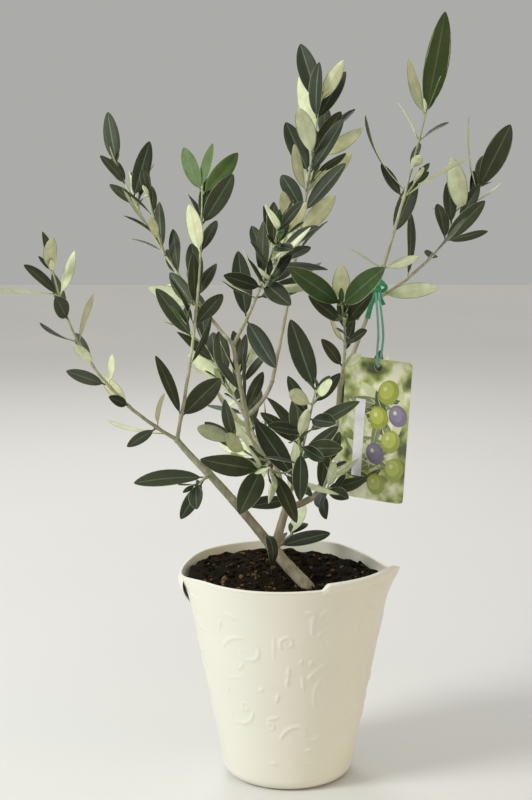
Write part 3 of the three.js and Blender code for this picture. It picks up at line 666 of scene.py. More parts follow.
def leaf_material(name, code, roughness, **settings):
    """A leaf's surface: an even colour, faintly mottled, with a fine leathery grain."""
    made = Material(name, code, roughness, **settings)
    made.mottle(made.noise(140, 2), (0.3, 0.86), (0.7, 1.14))
    made.gloss(made.noise(420, 2), roughness - 0.06, roughness + 0.08)
    made.bump(made.noise(900), 0.12, 0.5)
    made.bump(made.noise(170, 2), 0.5, 0.35)
    return made.material


def bark_material(name, code, streaks=0.4):
    """Smooth bark with fine lengthwise streaks and paler specks; streaks is how strong they are."""
    made = Material(name, code, 0.72, Specular_IOR_Level=0.35)
    made.mottle(made.noise(260, 5, (1, 1, 0.25)), (0.3, 0.68), (0.5, 1), (0.72, 1.25))
    made.bump(made.noise(700, 4, (1, 1, 0.2)), 0.25, streaks)
    made.bump(made.cells(430), 0.2, 0.35)
    return made.material


# ---- bark of the trunk and boughs

BARK = {"voxel": 0.45, "sides": 20, "collar": 0.22, "collar_length": 4.5, "node_every": 15}
BARK_COLOURS = (("bark_old", "978f78", 0.7), ("bark_young", "a3a288"))
# The older bark reaches this far above the soil.
OLD_BARK = 60
# How far the trunk's foot is sunk, and how far up it the rings have turned square with its lean.
FOOT_SUNK = 1.5
FOOT_TURN = 12


def limb_radius(limb, distance):
    """Taper, with a swelling where the limb leaves its fork; the trunk flares into the soil."""
    length = limb["path"].length
    radius = mix(*limb["radius"], min(distance / length, 1))
    if limb["parent"] is None:
        return radius * (0.96 + (TRUNK_FOOT["flare"] - 1.2) * exp(-distance / 5))
    return radius * (1 + BARK["collar"] * exp(-distance / BARK["collar_length"]))


def ball(skin, centre, radius):
    """A rounded knot of wood."""
    rings = []
    for k in range(1, 8):
        turn = pi * k / 8
        height = centre - UP * radius * cos(turn)
        rings.append(circle(height, UP, radius * sin(turn), 14))
    skin.loft(rings, tip=centre + UP * radius)


def add_limb(skin, limb):
    """A tapering limb with a rounded tip. The trunk's first rings turn from level to its lean."""
    path = limb["path"]
    count = max(6, round(path.length / 1.5))
    rings = []
    for k in range(count + 1):
        point, direction = path.at(k / count)
        distance = path.length * k / count
        if limb["parent"] is None:
            direction = unit(mix(UP, direction, min(1, distance / FOOT_TURN)))
            point = point - UP * (FOOT_SUNK if k == 0 else 0)
        rings.append(circle(point, direction, limb_radius(limb, distance), BARK["sides"]))
    skin.loft(rings)
    ball(skin, path.points[-1], limb["radius"][1] * 1.12)


def joined_wood(limbs):
    """The trunk and boughs as one mesh with soft forks."""
    skin = Skin()
    for name, *_ in LIMBS:
        add_limb(skin, limbs[name])
    add_cut_stub(skin, limbs["bough_fork"]["path"])
    rough = add_object("wood", skin.mesh("wood"))
    remesh = rough.modifiers.new("join", "REMESH")
    remesh.mode = "VOXEL"
    remesh.voxel_size = BARK["voxel"] * MM
    smooth = rough.modifiers.new("soften", "SMOOTH")
    smooth.factor = 0.5
    smooth.iterations = 7
    graph = bpy.context.evaluated_depsgraph_get()
    joined = bpy.data.meshes.new_from_object(rough.evaluated_get(graph))
    bpy.data.objects.remove(rough)
    return joined


def add_cut_stub(skin, path):
    """The stub that a pruned shoot left beside the fork of the boughs."""
    point, direction = path.at(0.97)
    out = unit(direction + radial(direction, radians(200)) * 0.9)
    skin.loft([circle(point + out * step, out, 1.9, 14) for step in (0, 2, 4, 5.6)])


def bark_relief(points, limbs):
    """How far each point of the wood moves outward: streaks, swellings and rings at old joints."""
    samples = []
    for name, *_ in LIMBS:
        path = limbs[name]["path"]
        for k in range(61):
            place, direction = path.at(k / 60)
            samples.append((*place, *direction, path.length * k / 60, limbs[name]["radius"][0]))
    samples = np.array(samples)
    nearest = np.concatenate([
        np.argmin(np.linalg.norm(part[:, None] - samples[None, :, :3], axis=2), axis=1)
        for part in np.array_split(points, max(1, len(points) // 4000))])
    relief = np.zeros(len(points))
    for i, (point, row) in enumerate(zip(points, samples[nearest])):
        direction, distance, radius = row[3:6], row[6], row[7]
        across = point - row[:3]
        across = across - direction * across.dot(direction)
        fine = noise.noise(Vector(across * 1.1 + UP * distance * 0.16))
        broad = noise.noise(Vector(point * 0.16))
        to_ring = (distance - 4) % BARK["node_every"]
        to_ring = min(to_ring, BARK["node_every"] - to_ring)
        ring = exp(-((to_ring / 1.3) ** 2))
        relief[i] = radius * (0.024 * (fine + broad) + 0.05 * ring)
    return relief


def make_bark(limbs, materials):
    mesh = joined_wood(limbs)
    count = len(mesh.vertices)
    points = np.zeros(count * 3)
    mesh.vertices.foreach_get("co", points)
    points = points.reshape(-1, 3) / MM
    normals = np.array([v.vector for v in mesh.vertex_normals])
    points += normals * bark_relief(points, limbs)[:, None]
    mesh.vertices.foreach_set("co", (points * MM).ravel())
    mesh.update()
    is_young = [face.center.z / MM > SOIL_LEVEL + OLD_BARK for face in mesh.polygons]
    make_piece("bark", mesh, is_young, materials, [name for name, *_ in LIMBS])


# ---- stems, buds and leaves

STEM_COLOURS = (("stem_old", "a8a58a"), ("stem_middle", "aeb092"), ("stem_young", "a9b48a"),
                ("bud", "8f9a6a"))
OLD, MIDDLE, YOUNG, BUD = range(len(STEM_COLOURS))


def make_stems(plant, materials):
    """Stems and side twigs, thicker at each pair of leaves, with a bud in the angle of each leaf."""
    skin = Skin()
    for stem in plant.stems:
        path, plan = stem["path"], stem["plan"]
        count = max(6, round(path.length / 1.6))
        joints = [mix(plan["bare"], 1, (k / (plan["pairs"] - 1)) ** CROWDING)
                  for k in range(plan["pairs"])]
        rings = []
        looks = []
        for k in range(count + 1):
            part = k / count
            point, direction = path.at(part)
            radius = mix(*stem["radius"], part)
            swell = max(exp(-(((part - j) * path.length / 1.4) ** 2)) for j in joints)
            foot = exp(-part * path.length / 2.5)
            wobble = noise.noise_vector(Vector(point * 0.09)) * (0.25 * radius)
            size = radius * (1 + 0.28 * swell + 0.3 * foot)
            rings.append(circle(point + np.array(wobble) * (1 - foot), direction, size, 9))
            age = OLD if part < 0.3 else MIDDLE if part < 0.72 else YOUNG
            looks.append([YOUNG if "young" in stem else age] * 9)
        skin.loft(rings, looks)
    for leaf in plant.leaves:
        add_bud(skin, leaf)
    skin.make("stems", materials, [shoot["name"] for shoot in SHOOTS])


def add_bud(skin, leaf):
    out = unit(leaf["stem_dir"] + 0.7 * leaf["dir"])
    foot = leaf["base"] + leaf["dir"] * 0.9 + leaf["stem_dir"] * 0.9
    shape = ((0, 0.5), (0.6, 0.62), (1.2, 0.42))
    skin.loft([circle(foot + out * rise, out, size, 6) for rise, size in shape],
              BUD, tip=foot + out * 1.8)


# Colour and roughness of the upper sides, the undersides, and the leaf's edge, ribs and stalk.
LEAF_TOPS = {"dark": ("2c3322", 0.57), "grey": ("3d4235", 0.6), "olive": ("373d27", 0.57),
             "deep": ("364c24", 0.53), "fresh": ("58723c", 0.55)}
LEAF_UNDERS = {"pale": "dce1b9", "sage": "c6cda8", "soft": "d2d8b1"}
LEAF_TRIMS = {"leaf_edge": ("9aa279", 0.55), "leaf_rib": ("4f5f42", 0.5), "under_rib": ("cfd3ac", 0.6),
              "leaf_stalk": ("a3ab78", 0.55)}
FRESH_TIPS = {"foliage_left": "fresh", "foliage_tall_right": "deep", "foliage_inner_right": "deep"}
LOOKS = [*LEAF_TOPS, *LEAF_UNDERS, *LEAF_TRIMS]
EDGE, RIB, RIB_UNDER, STALK = (LOOKS.index(name) for name in LEAF_TRIMS)

# Places across the blade, from its right edge over the top to the left edge and back beneath.
ACROSS = np.array([1, 0.96, 0.5, 0.07, -0.07, -0.5, -0.96, -1, -0.9, -0.12, 0.12, 0.9])
TOP_COUNT = 8
STATIONS = np.array([0, 0.03, 0.08, 0.15, 0.24, 0.35, 0.47, 0.59, 0.7, 0.8, 0.88, 0.94, 0.98])
STALK_LENGTH = 4.5
STALK_HALF = 0.62
SHAPE = (0.66, 0.72)


def outline(t):
    """Half the blade's width from its foot to its tip, as a share of its greatest."""
    a, b = SHAPE
    widest = a / (a + b)
    return (t / widest) ** a * np.maximum((1 - t) / (1 - widest), 0) ** b


def blade_rings(leaf, style):
    stalk = min(STALK_LENGTH / leaf["length"], 0.16)
    s = np.concatenate([[0, 0.5 * stalk], stalk + (1 - stalk) * STATIONS])
    t = np.clip((s - stalk) / (1 - stalk), 0, 1)
    widest = leaf["length"] * BLADE["width"] * style["width"]
    half = np.maximum(widest * outline(t), STALK_HALF * (1 - t) ** 0.5)
    opened = smoothstep(t, 0, 0.12)[:, None]
    u = ACROSS[None, :]
    round_edge = np.sqrt(np.maximum(1 - u ** 2, 0))
    is_top = np.arange(len(ACROSS)) < TOP_COUNT
    stalk_height = np.where(is_top, 0.3, -0.6) * round_edge
    crown = style["fold"] * np.abs(u) ** 1.4 - style["curl"] * u ** 8
    wave = style["wave"] * np.sin(2 * np.pi * (1.2 * s + style["phase"]))[:, None] * u
    top = half[:, None] * (crown + wave)
    top = top - np.where(np.abs(u) < 0.1, 0.14, 0) * is_top
    depth = np.where(np.abs(u) < 0.2, 0.75, 0.34) * mix(1, 0.45, t)[:, None]
    height = mix(stalk_height, np.where(is_top, top, top - depth), opened)
    bent = (leaf["bend"] * s)[:, None]
    twist = (style["turn"] * t ** 1.5)[:, None]
    face = leaf["face"] * np.cos(bent) + leaf["dir"] * np.sin(bent)
    side = leaf["side"] * np.cos(twist) - face * np.sin(twist)
    face = face * np.cos(twist) + leaf["side"] * np.sin(twist)
    spine = midrib(leaf, s)
    return (spine[:, None] + side[:, None] * (half[:, None] * u)[..., None]
            + face[:, None] * height[..., None]), s, stalk


def blade_looks(s, stalk, top, under):
    across = [EDGE, top, top, RIB, top, top, EDGE, EDGE, under, RIB_UNDER, under, EDGE]
    return [[STALK] * len(ACROSS) if part < stalk else across for part in s[1:]]


def spray_colours(plant, roll):
    """Colours are dealt out by spray: a mass leans to one green, and its last pairs are fresher."""
    leaning = {}
    for shoot in SHOOTS:
        pick = roll()
        leaning[shoot["name"]] = "dark" if pick < 0.45 else "grey" if pick < 0.8 else "olive"
    for leaf in plant.leaves:
        pick = roll()
        top = leaning[leaf["owner"]]
        if leaf["owner"] in FRESH_TIPS and leaf["age"] < 0.12:
            top = FRESH_TIPS[leaf["owner"]]
        elif leaf["kind"] == "young" and pick < 0.6:
            top = "fresh" if pick < 0.25 else "deep"
        elif pick < 0.3:
            top = [*LEAF_TOPS][int(pick * 10)]
        under = [*LEAF_UNDERS][min(2, int(roll() * 3))]
        yield leaf, LOOKS.index(top), LOOKS.index(under)


def make_leaves(plant, materials):
    skin = Skin()
    roll = dice(91)
    for leaf, top, under in spray_colours(plant, roll):
        style = {
            "width": 1.05 + 0.2 * (roll() - 0.5),
            "fold": 0.1 + 0.2 * roll(),
            "curl": 0.05 + 0.12 * roll(),
            "wave": 0.1 * (roll() - 0.5),
            "phase": roll(),
            "turn": radians(40 * (roll() - 0.5)),
        }
        rings, s, stalk = blade_rings(leaf, style)
        skin.loft(rings, blade_looks(s, stalk, top, under), tip=midrib(leaf, 1.0))
    skin.make("leaves", materials, [shoot["name"] for shoot in SHOOTS], crease=60)


# ---- pot

POT_SIDES = 540
RIM = {"bead": 1.2, "lift_from": 138, "tip": 1.6, "band": (149.6, 152.4)}
SCROLL = {"height": 0.6, "width": 1.2}

EAR_HALF_THICK = 0.7
# Heights where the plain wall, the closer rings below the lip, and the ornament end.
WALL_TOP, LIP_START, SCROLL_TOP = 140, 140.5, 141

# The raised ornament of one quarter of the wall, in millimetres round from its middle and up:
# curls as (across, up, radius, end, windings), arcs as (across, up, radius, start, end), and straight
# sprigs as (across, up, length, lean).
CURLS = [(-1.2, 116.7, 5.4, 215, 1.6), (-37.5, 96.8, 3.2, 20, 1.3), (-31.8, 66.2, 3.4, 300, 1.3),
         (-12.8, 51.5, 3, 120, 1.2), (9.8, 47.2, 2.6, 90, 1.1)]
ARCS = [(-28.4, 109.3, 7.2, 185, 410), (-36.5, 103.5, 14.5, 155, 80), (45, 128, 29, 158, 191),
        (29.5, 133.5, 7.3, 165, 25), (40, 70, 32.5, 144, 112), (40, 74, 22.3, 133, 196),
        (-35.5, 61, 9.5, 3, -107), (6.5, 40, 12.2, 166, 58), (17.5, 46, 5, 245, 330)]
SPRIGS = [(-10.7, 113.5, 19, 90), (14.5, 139.2, 5, -10), (21.5, 122.5, 5, 50), (28.7, 116.7, 4, 30),
          (8.4, 102.2, 3, 60), (15.5, 100.8, 3, 60), (9.9, 85.7, 10, -84), (-1.1, 87, 5.5, 80),
          (-0.3, 94.8, 7, 90), (-48.3, 77.6, 7, -60), (-44.8, 56.4, 4, 80), (-19.7, 80.1, 3.5, 30),
          (-8, 74.2, 6, 75), (-11.2, 58.3, 8.5, 18), (-10.6, 22.6, 5, 0), (14.5, 33.2, 4, 10),
          (18.8, 21.7, 21, 1), (-41.5, 86.3, 27, 14), (-43.9, 133.9, 15, -15), (-53, 125, 8, 78)]


def outer(z):
    return POT["foot"] + (POT["rim"] - POT["foot"]) * z / POT["height"]


def hump(angle, centre, half_width):
    apart = np.abs((angle - centre + 180) % 360 - 180)
    return smoothstep(1 - apart / half_width, 0, 1)


def total(features, angle):
    """What all the features of one kind add up to at an angle."""
    return sum(size * hump(angle, bearing, width) for bearing, width, size in features)


def lip_share(angle):
    """The lip is rolled out and stands higher from a step at the front round to the right."""
    rising = smoothstep(angle, LIP["from"], LIP["from"] + LIP["step"])
    return rising * (1 - smoothstep(angle, LIP["to"], LIP["to"] + LIP["fade"]))


def corner_reach(angle, z):
    return total(CORNERS, angle) * smoothstep(z, POT["height"] - CORNER_DEPTH, POT["height"])


def scroll_points():
    """Points along every line of the ornament, each with the half width of the ridge there."""
    rows = []
    for x, z, radius, end, windings in CURLS:
        share = np.linspace(0.2, 1, 44)
        turn = radians(end) + 2 * pi * windings * (share - 1)
        rows.append((x + radius * share * np.cos(turn), z + radius * share * np.sin(turn), share))
    for x, z, radius, start, end in ARCS:
        turn = np.radians(np.linspace(start, end, 28))
        share = 0.45 + 0.75 * np.sin(np.linspace(0.25, 2.9, 28))
        rows.append((x + radius * np.cos(turn), z + radius * np.sin(turn), share))
    for x, z, length, lean in SPRIGS:
        way = np.linspace(-0.5, 0.5, 14) * length
        share = (0.35 + 0.75 * np.cos(np.linspace(-1.4, 1.4, 14))) * min(1, 9 / length) ** 0.5
        rows.append((x + way * cos(radians(lean)), z + way * sin(radians(lean)), share))
    x, z, share = (np.concatenate(column) for column in zip(*rows))
    return x, z, share * SCROLL["width"]


def scroll_height(angles, z, strokes):
    """Height of the ornament round one ring of the wall; it comes again in every quarter."""
    across, up, width = strokes
    quarter = angles[:len(angles) // 4]
    x = outer(z) * np.radians((quarter + 135) % 90 - 45)
    apart = np.hypot(x[:, None] - across, z - up)
    ridge = np.exp(-((apart / width) ** 2)) * np.minimum(width / SCROLL["width"] + 0.2, 1)
    return np.tile(SCROLL["height"] * ridge.max(axis=1), 4)


def pot_rows():
    """Radius, height and side of every ring: foot, outer wall, rim, then down the inside."""
    turned = POT["foot_round"] + 4
    bead = RIM["bead"]
    for turn in np.linspace(0, np.pi / 2, 9):
        yield outer(turned) - turned * (1 - sin(turn)), turned * (1 - cos(turn)), "out"
    for z in (*np.arange(turned + 1, WALL_TOP, 0.92), *np.arange(LIP_START, POT["height"] - bead, 0.7)):
        yield outer(z), z, "out"
    for k, turn in enumerate(np.linspace(0, np.pi, 9)):
        side = "out" if k < 4 else "in"
        yield POT["rim"] - bead * (1 - cos(turn)), POT["height"] - bead * (1 - sin(turn)), side
    for z in (150, 147, 144, 140, 100, 50, POT["floor"] + 1):
        yield outer(z) - POT["wall"], z, "in"
    yield outer(POT["floor"]) - POT["wall"] - 1, POT["floor"], "in"


def make_pot(material):
    angles = -180 + 360 * np.arange(POT_SIDES) / POT_SIDES
    bearings = np.radians(angles)
    out = np.stack([np.cos(bearings), np.sin(bearings), 0 * bearings], axis=1)
    strokes = scroll_points()
    rings = []
    bearing, width, _ = CORNERS[0]
    lift = LIP["rise"] * lip_share(angles) - total(DIPS, angles)
    tip = RIM["tip"] * hump(angles, bearing, width) ** 2
    for radius, z, side in pot_rows():
        reach = corner_reach(angles, z)
        if side == "out":
            reach = reach + LIP["roll"] * smoothstep(z, *RIM["band"]) * lip_share(angles)
            reach = reach + scroll_height(angles, z, strokes) * (z < SCROLL_TOP)
        warp = 0.35 * np.sin(2 * bearings + 0.4) + 0.16 * np.sin(5 * bearings + 0.05 * z)
        reach = reach + warp * smoothstep(z, 20, POT["height"])
        raised = (lift + tip) * smoothstep(z, RIM["lift_from"], POT["height"])
        rings.append(out * (radius + reach)[:, None] + np.outer(z + raised, UP))
    skin = Skin()
    skin.loft(rings, foot=(0, 0, 0), tip=(0, 0, POT["floor"]))
    add_ear(skin)
    skin.make("pot_shell", [material], ["pot"], crease=50)


def add_ear(skin):
    """A fold of the rim that bows out from the wall and leaves a slit behind it."""
    across = [1, 0.8, 0.4, 0, -0.4, -0.8]
    top = POT["height"] - DIPS[1][2] - 0.4
    rings = []
    for k in range(17):
        part = k / 16
        z = top - EAR["depth"] * part
        bow = EAR["size"] * sin(pi * min(1, part * 1.06)) ** 0.8
        half = EAR["width"] * (1 - 0.5 * part ** 2)
        thick = EAR_HALF_THICK * min(1, 0.15 + 4 * part)
        ring = []
        for x, depth in [(x, thick) for x in across] + [(-1, 0)] + [(-x, -thick) for x in across[1:]]:
            angle = EAR["bearing"] + half * x
            radius = outer(z) + corner_reach(angle, z) + bow * (1 - 0.35 * x ** 2) + depth
            ring.append(heading(angle, 0) * radius + UP * z)
        rings.append(ring[::-1])
    skin.loft(rings)


# ---- soil

SOIL_COLOURS = (("soil_dark", "1a140a"), ("soil_peat", "22190d"), ("soil_bark", "2f2313"),
                ("soil_chip", "6a5639", 0.8))
SOIL_SIDES = 150
CHIPS = {"count": 520, "shape": ((-0.5, 0.6), (-0.3, 1), (0.25, 0.9), (0.5, 0.5)), "sides": 5}
CLODS = {"count": 170, "shape": ((-0.5, 0.35), (-0.3, 0.85), (0, 1), (0.3, 0.8), (0.5, 0.3)), "sides": 7}


def soil_height(x, y):
    off = (x - TRUNK_FOOT["x"], y - TRUNK_FOOT["y"])
    waves = 1.2 * sin(x * 0.31 + 1) * cos(y * 0.27) * min(1, hypot(*off) / 20)
    crumbs = 0.9 * noise.noise(Vector((x * 0.3, y * 0.3, 1))) + 0.7 * noise.noise(Vector((x, y, 5)))
    return SOIL_LEVEL + SOIL_SLOPE[0] * off[0] + SOIL_SLOPE[1] * off[1] + waves + crumbs


def soil_radius(z=SOIL_LEVEL):
    return outer(z) - POT["wall"] - 0.3


def make_soil(materials):
    floor = POT["floor"] + GAP
    shoulder = SOIL_LEVEL - 8
    rings = []
    for radius, z in ((soil_radius(floor) - 0.3, floor), (soil_radius(shoulder), shoulder)):
        rings.append(circle(UP * z, UP, radius, SOIL_SIDES))
    for k in range(44):
        ring = circle(UP * SOIL_LEVEL, UP, soil_radius() * (1 - k / 44.5), SOIL_SIDES)
        for point in ring:
            point[2] = soil_height(point[0], point[1])
            point[:2] *= soil_radius(point[2]) / soil_radius()
        rings.append(ring)
    skin = Skin()
    skin.loft(rings, foot=(0, 0, floor), tip=(0, 0, soil_height(0, 0)))
    skin.make("soil_bed", materials[:1], ["soil"])
    make_chips(materials)


def make_chips(materials):
    """Splinters of bark and crumbs of peat that lie over the soil."""
    skin = Skin()
    roll = dice(404)
    for kind in [CHIPS] * CHIPS["count"] + [CLODS] * CLODS["count"]:
        far = 0.93 * soil_radius() * sqrt(roll())
        turn = 2 * pi * roll()
        x, y = far * cos(turn), far * sin(turn)
        centre = np.array([x, y, soil_height(x, y) + 0.1 + 0.4 * roll()])
        way = heading(360 * roll(), 50 * (roll() - 0.5))
        look = min(len(materials) - 1, int(len(materials) * roll() ** 1.9))
        if kind is CHIPS:
            length, thick = 1.8 + 5.5 * roll() ** 2, 0.35 + 0.75 * roll()
        else:
            length = 1.6 + 2.6 * roll()
            thick = length * 0.5
        rings = []
        for along, size in kind["shape"]:
            radii = [thick * size * (0.65 + 0.7 * roll()) for _ in range(kind["sides"])]
            rings.append(circle(centre + way * length * along, way, radii, kind["sides"]))
        skin.loft(rings, look)
    skin.make("soil_chips", materials, ["soil"], crease=40)


# ---- card and ribbon

CARD_SIDES = 88
CARD_CURL = 1.3
PRINT_COLOURS = {"picture": None, "board": "dcdccb", "pale": "eae7ee", "shade": "4b5437",
                 "green": "7c8560", "light": "cdd2a6", "olive": "97a03f", "olive_light": "b3ba54",
                 "lilac": "776d88", "lilac_light": "877c96"}
PRINTS = [*PRINT_COLOURS]
PRINTED_LEAVES = 26
# The printed olives: across and up from the hole, width, lean, and kind.
PRINTED_OLIVES = [(9, -17, 15, -20, "olive"), (17, -33, 13, 15, "lilac"), (3, -36, 14, 10, "olive"),
                  (13, -52, 14, -12, "olive"), (2, -62, 13, 24, "lilac"), (17, -72, 14, -8, "olive"),
                  (4, -84, 13, 14, "olive")]
# The strip's left, right, top and bottom, from the hole.
BARE_STRIP = (-15, -7.5, -24, -80)


def on_card(tie, x, up, depth):
    """A point of the card from its hole; the card curls a little about its long middle line."""
    curl = CARD_CURL * ((x / (TAG["width"] / 2)) ** 2 + 0.8 * (up / TAG["height"]) ** 2)
    return tie["hole"] + tie["right"] * x + tie["up"] * up + tie["front"] * (depth - curl)


def card_outline(count):
    """Points round the card, evenly turned about a point near its top."""
    half, corner = TAG["width"] / 2, TAG["corner"]
    top, bottom = TAG["hole_drop"], TAG["hole_drop"] - TAG["height"]
    points = []
    for x, up, start in ((half, top, 0), (-half, top, 90), (-half, bottom, 180), (half, bottom, 270)):
        cx, cu = x - copysign(corner, x), up - copysign(corner, up - (top + bottom) / 2)
        for k in range(5):
            turn = radians(start + 22.5 * k)
            points.append((cx + corner * cos(turn), cu + corner * sin(turn)))
    points.append(points[0])
    points = np.array(points)
    steps = np.concatenate([[0], np.cumsum(np.linalg.norm(np.diff(points, axis=0), axis=1))])
    spots = np.linspace(0, steps[-1], count, endpoint=False)
    return np.stack([np.interp(spots, steps, points[:, i]) for i in (0, 1)], axis=1)


def make_card(tie, materials):
    """The board with its hole, printed on the front and plain behind."""
    edge = card_outline(CARD_SIDES)
    hole = edge / np.linalg.norm(edge, axis=1)[:, None] * TAG["hole"]
    half = TAG["thickness"] / 2
    picture, board = PRINTS.index("picture"), PRINTS.index("board")
    loops = []
    looks = []
    for depth, parts in ((half, np.linspace(0, 1, 12)), (-half, np.linspace(1, 0, 12))):
        for part in parts:
            loops.append([on_card(tie, x, up, depth) for x, up in mix(hole, edge, part)])
            looks += [picture if depth > 0 and part < 1 else board] * CARD_SIDES
    skin = Skin()
    skin.hoop(loops, looks)
    print_card(skin, tie, half)
    skin.make("card", materials, ["tag"], crease=35)


def print_leaves(skin, tie, face):
    """Printed leaves in rows over the picture, each with a paler rib."""
    roll = dice(58)
    lowest = TAG["hole_drop"] - TAG["height"] + 3
    for k in range(PRINTED_LEAVES):
        length = 18 + 13 * roll()
        lean = 55 + 75 * (roll() - 0.5) + 90 * (k % 2)
        room = 0.5 * length * abs(cos(radians(lean))) + 2
        x = mix(room - TAG["width"] / 2, TAG["width"] / 2 - room, roll())
        up = mix(-4 - length / 2, lowest + length / 2, ((k * 7) % PRINTED_LEAVES) / PRINTED_LEAVES)
        look = ("shade", "green", "light", "green")[int(4 * roll())]
        proud = 0.08 + 0.006 * k
        add_plate(skin, tie, lens(x, up, length, length * 0.27, lean), face, proud, look)
        add_plate(skin, tie, lens(x, up, length * 0.9, length * 0.0162, lean), face, proud + 0.02, "light")


def print_card(skin, tie, face):
    """A picture of olives among leaves, with a bare pale strip beside it."""
    print_leaves(skin, tie, face)
    for x, up, width, lean, kind in PRINTED_OLIVES:
        for size, shift, proud, look in ((1, 0, 0.3, kind), (0.7, 0.08, 0.33, kind + "_light"),
                                         (0.2, 0.16, 0.36, "light")):
            shape = oval(x - width * shift, up + width * shift, width * size, width * size * 1.2, lean)
            add_plate(skin, tie, shape, face, proud, look)
    left, right, top, bottom = BARE_STRIP
    across = np.linspace(left, right, 5)
    levels = np.linspace(top, bottom, 12)
    strip = [(x, bottom) for x in across] + [(right, up) for up in levels[-2:0:-1]]
    strip += [(x, top) for x in across[::-1]] + [(left, up) for up in levels[1:-1]]
    add_plate(skin, tie, strip, face, 0.38, "pale")


def add_plate(skin, tie, plate, face, proud, look):
    """A thin printed patch on the card's front."""
    rings = [[on_card(tie, x, up, face + depth) for x, up in plate] for depth in (-0.1, proud)]
    skin.loft(rings, PRINTS.index(look))


def lean_out(x, up, shape, lean):
    c, s = cos(radians(lean)), sin(radians(lean))
    return [(x + a * c - b * s, up + a * s + b * c) for a, b in shape]


def oval(x, up, width, height, lean):
    return lean_out(x, up, [(width / 2 * cos(t), height / 2 * sin(t)) for t in turns(24)], lean)


def lens(x, up, length, width, lean):
    steps = np.linspace(-1, 1, 13)
    lower = [(length / 2 * t, -width / 2 * cos(pi / 2 * t) ** 0.8) for t in steps[:-1]]
    upper = [(length / 2 * t, width / 2 * cos(pi / 2 * t) ** 0.8) for t in steps[:0:-1]]
    return lean_out(x, up, lower + upper, lean)


def add_band(skin, points, width, thickness, facing, look, closed=False):
    """A flat ribbon along a line of points, its broad side towards a direction or away from a point."""
    points = np.asarray(points, float)
    ahead, behind = np.roll(points, -1, axis=0), np.roll(points, 1, axis=0)
    if not closed:
        ahead[-1], behind[0] = points[-1], points[0]
    widths = np.broadcast_to(width, len(points))
    rings = []
    for k, point in enumerate(points):
        way = unit(ahead[k] - behind[k])
        side = unit(np.cross(way, facing(point) if callable(facing) else facing))
        normal = np.cross(side, way)
        rings.append([point + side * a * widths[k] / 2 + normal * b * thickness / 2
                      for a, b in BAND_SECTION])
    if closed:
        skin.hoop(rings, look)
    else:
        skin.loft([ring[::-1] for ring in rings], look)


def through(points, count):
    """A smooth line through points."""
    points = np.asarray(points, float)
    padded = np.vstack([2 * points[0] - points[1], points, 2 * points[-1] - points[-2]])
    line = []
    for k in range(len(points) - 1):
        a, b, c, d = padded[k:k + 4]
        for t in np.arange(count) / count:
            line.append(0.5 * (2 * b + (c - a) * t + (2 * a - 5 * b + 4 * c - d) * t ** 2
                               + (3 * b - a - 3 * c + d) * t ** 3))
    return np.array(line + [points[-1]])


RIBBON_COLOURS = (("ribbon_green", "1f8a55"), ("ribbon_teal", "6fae9f"))
GREEN, TEAL = range(len(RIBBON_COLOURS))
# The loose ends of the knot: lean from upright, to the right, and length.
RIBBON_ENDS = ((-146, 26), (-118, 22), (-132, 25), (-164, 21), (-80, 14), (-50, 12), (150, 11), (28, 9))
BAND_SECTION = ((1, 0), (0.86, 1), (0, 1), (-0.86, 1), (-1, 0), (-0.86, -1), (0, -1), (0.86, -1))


def make_ribbon(tie, materials):
    """A band round the stem, a knot of loops in front of it, its ends and the strands to the card."""
    knot, right, up, front = tie["knot"], tie["right"], tie["up"], tie["front"]
    skin = Skin()
    side, back = radial(tie["dir"], 0), radial(tie["dir"], pi / 2)
    around = [tie["point"] + 2.1 * (side * cos(t) + back * sin(t)) for t in turns(36)]
    add_band(skin, around, 2.6, 0.5, lambda p: unit(p - tie["point"]), GREEN, closed=True)
    loops = [knot + right * 2.6 * (sin(t) + 1.7 * sin(2 * t)) + up * 2.4 * (cos(t) - 1.7 * cos(2 * t))
             - front * 1.5 * sin(3 * t) for t in turns(72)]
    add_band(skin, loops, 2.8, 0.55, front, GREEN, closed=True)
    ball(skin, knot, 2.8)
    for lean, length in RIBBON_ENDS:
        way = right * sin(radians(lean)) + up * cos(radians(lean))
        line = through([knot, knot + way * length * 0.5 + front * 1.6,
                        knot + way * length + front * 0.4 - up * 1.2], 10)
        add_band(skin, line, np.linspace(2.4, 4.2, len(line)), 0.45, front, GREEN)
    rim = TAG["hole"] * 0.9
    arms = ((-1.1, 26, 2.4), (-0.9, 11, 2.1), (-0.3, rim, 1.6), (0, rim / 3, 0), (0.3, rim, -1.6),
            (0.9, 11, -1.8), (1.1, 26, -1.2))
    route = [knot - right * 1.2] + [tie["hole"] + right * x + up * y + front * z for x, y, z in arms]
    route = through(route + [knot + right * 1.0], 14)
    add_band(skin, route, 1.7, 0.4, front + 0.3 * right, TEAL)
    skin.make("ribbon", materials, ["tag_tie"], crease=50)


# ---- stage, light and view

FLOOR_REACH = 4000
AIM = (0, 0, 0.25)
CAMERA = {"lens": 76.6, "sensor_width": 36, "place": (-0.016, -1.2, 0.466), "tilt": 81}


def make_stage():
    """A wide pale floor under the pot."""
    corners = [(-1, -1), (1, -1), (1, 1), (-1, 1)]
    skin = Skin()
    skin.loft([[(x * FLOOR_REACH, y * FLOOR_REACH, z) for x, y in corners] for z in (-20, 0)])
    paper = Material("floor_paper", "e0dfdb", 0.85)
    paper.mottle(paper.noise(1.5, 2), (0.3, "dedddb"), (0.7, "e2e1dd"))
    floor = add_object("floor", skin.mesh("floor"))
    floor.data.materials.append(paper.material)


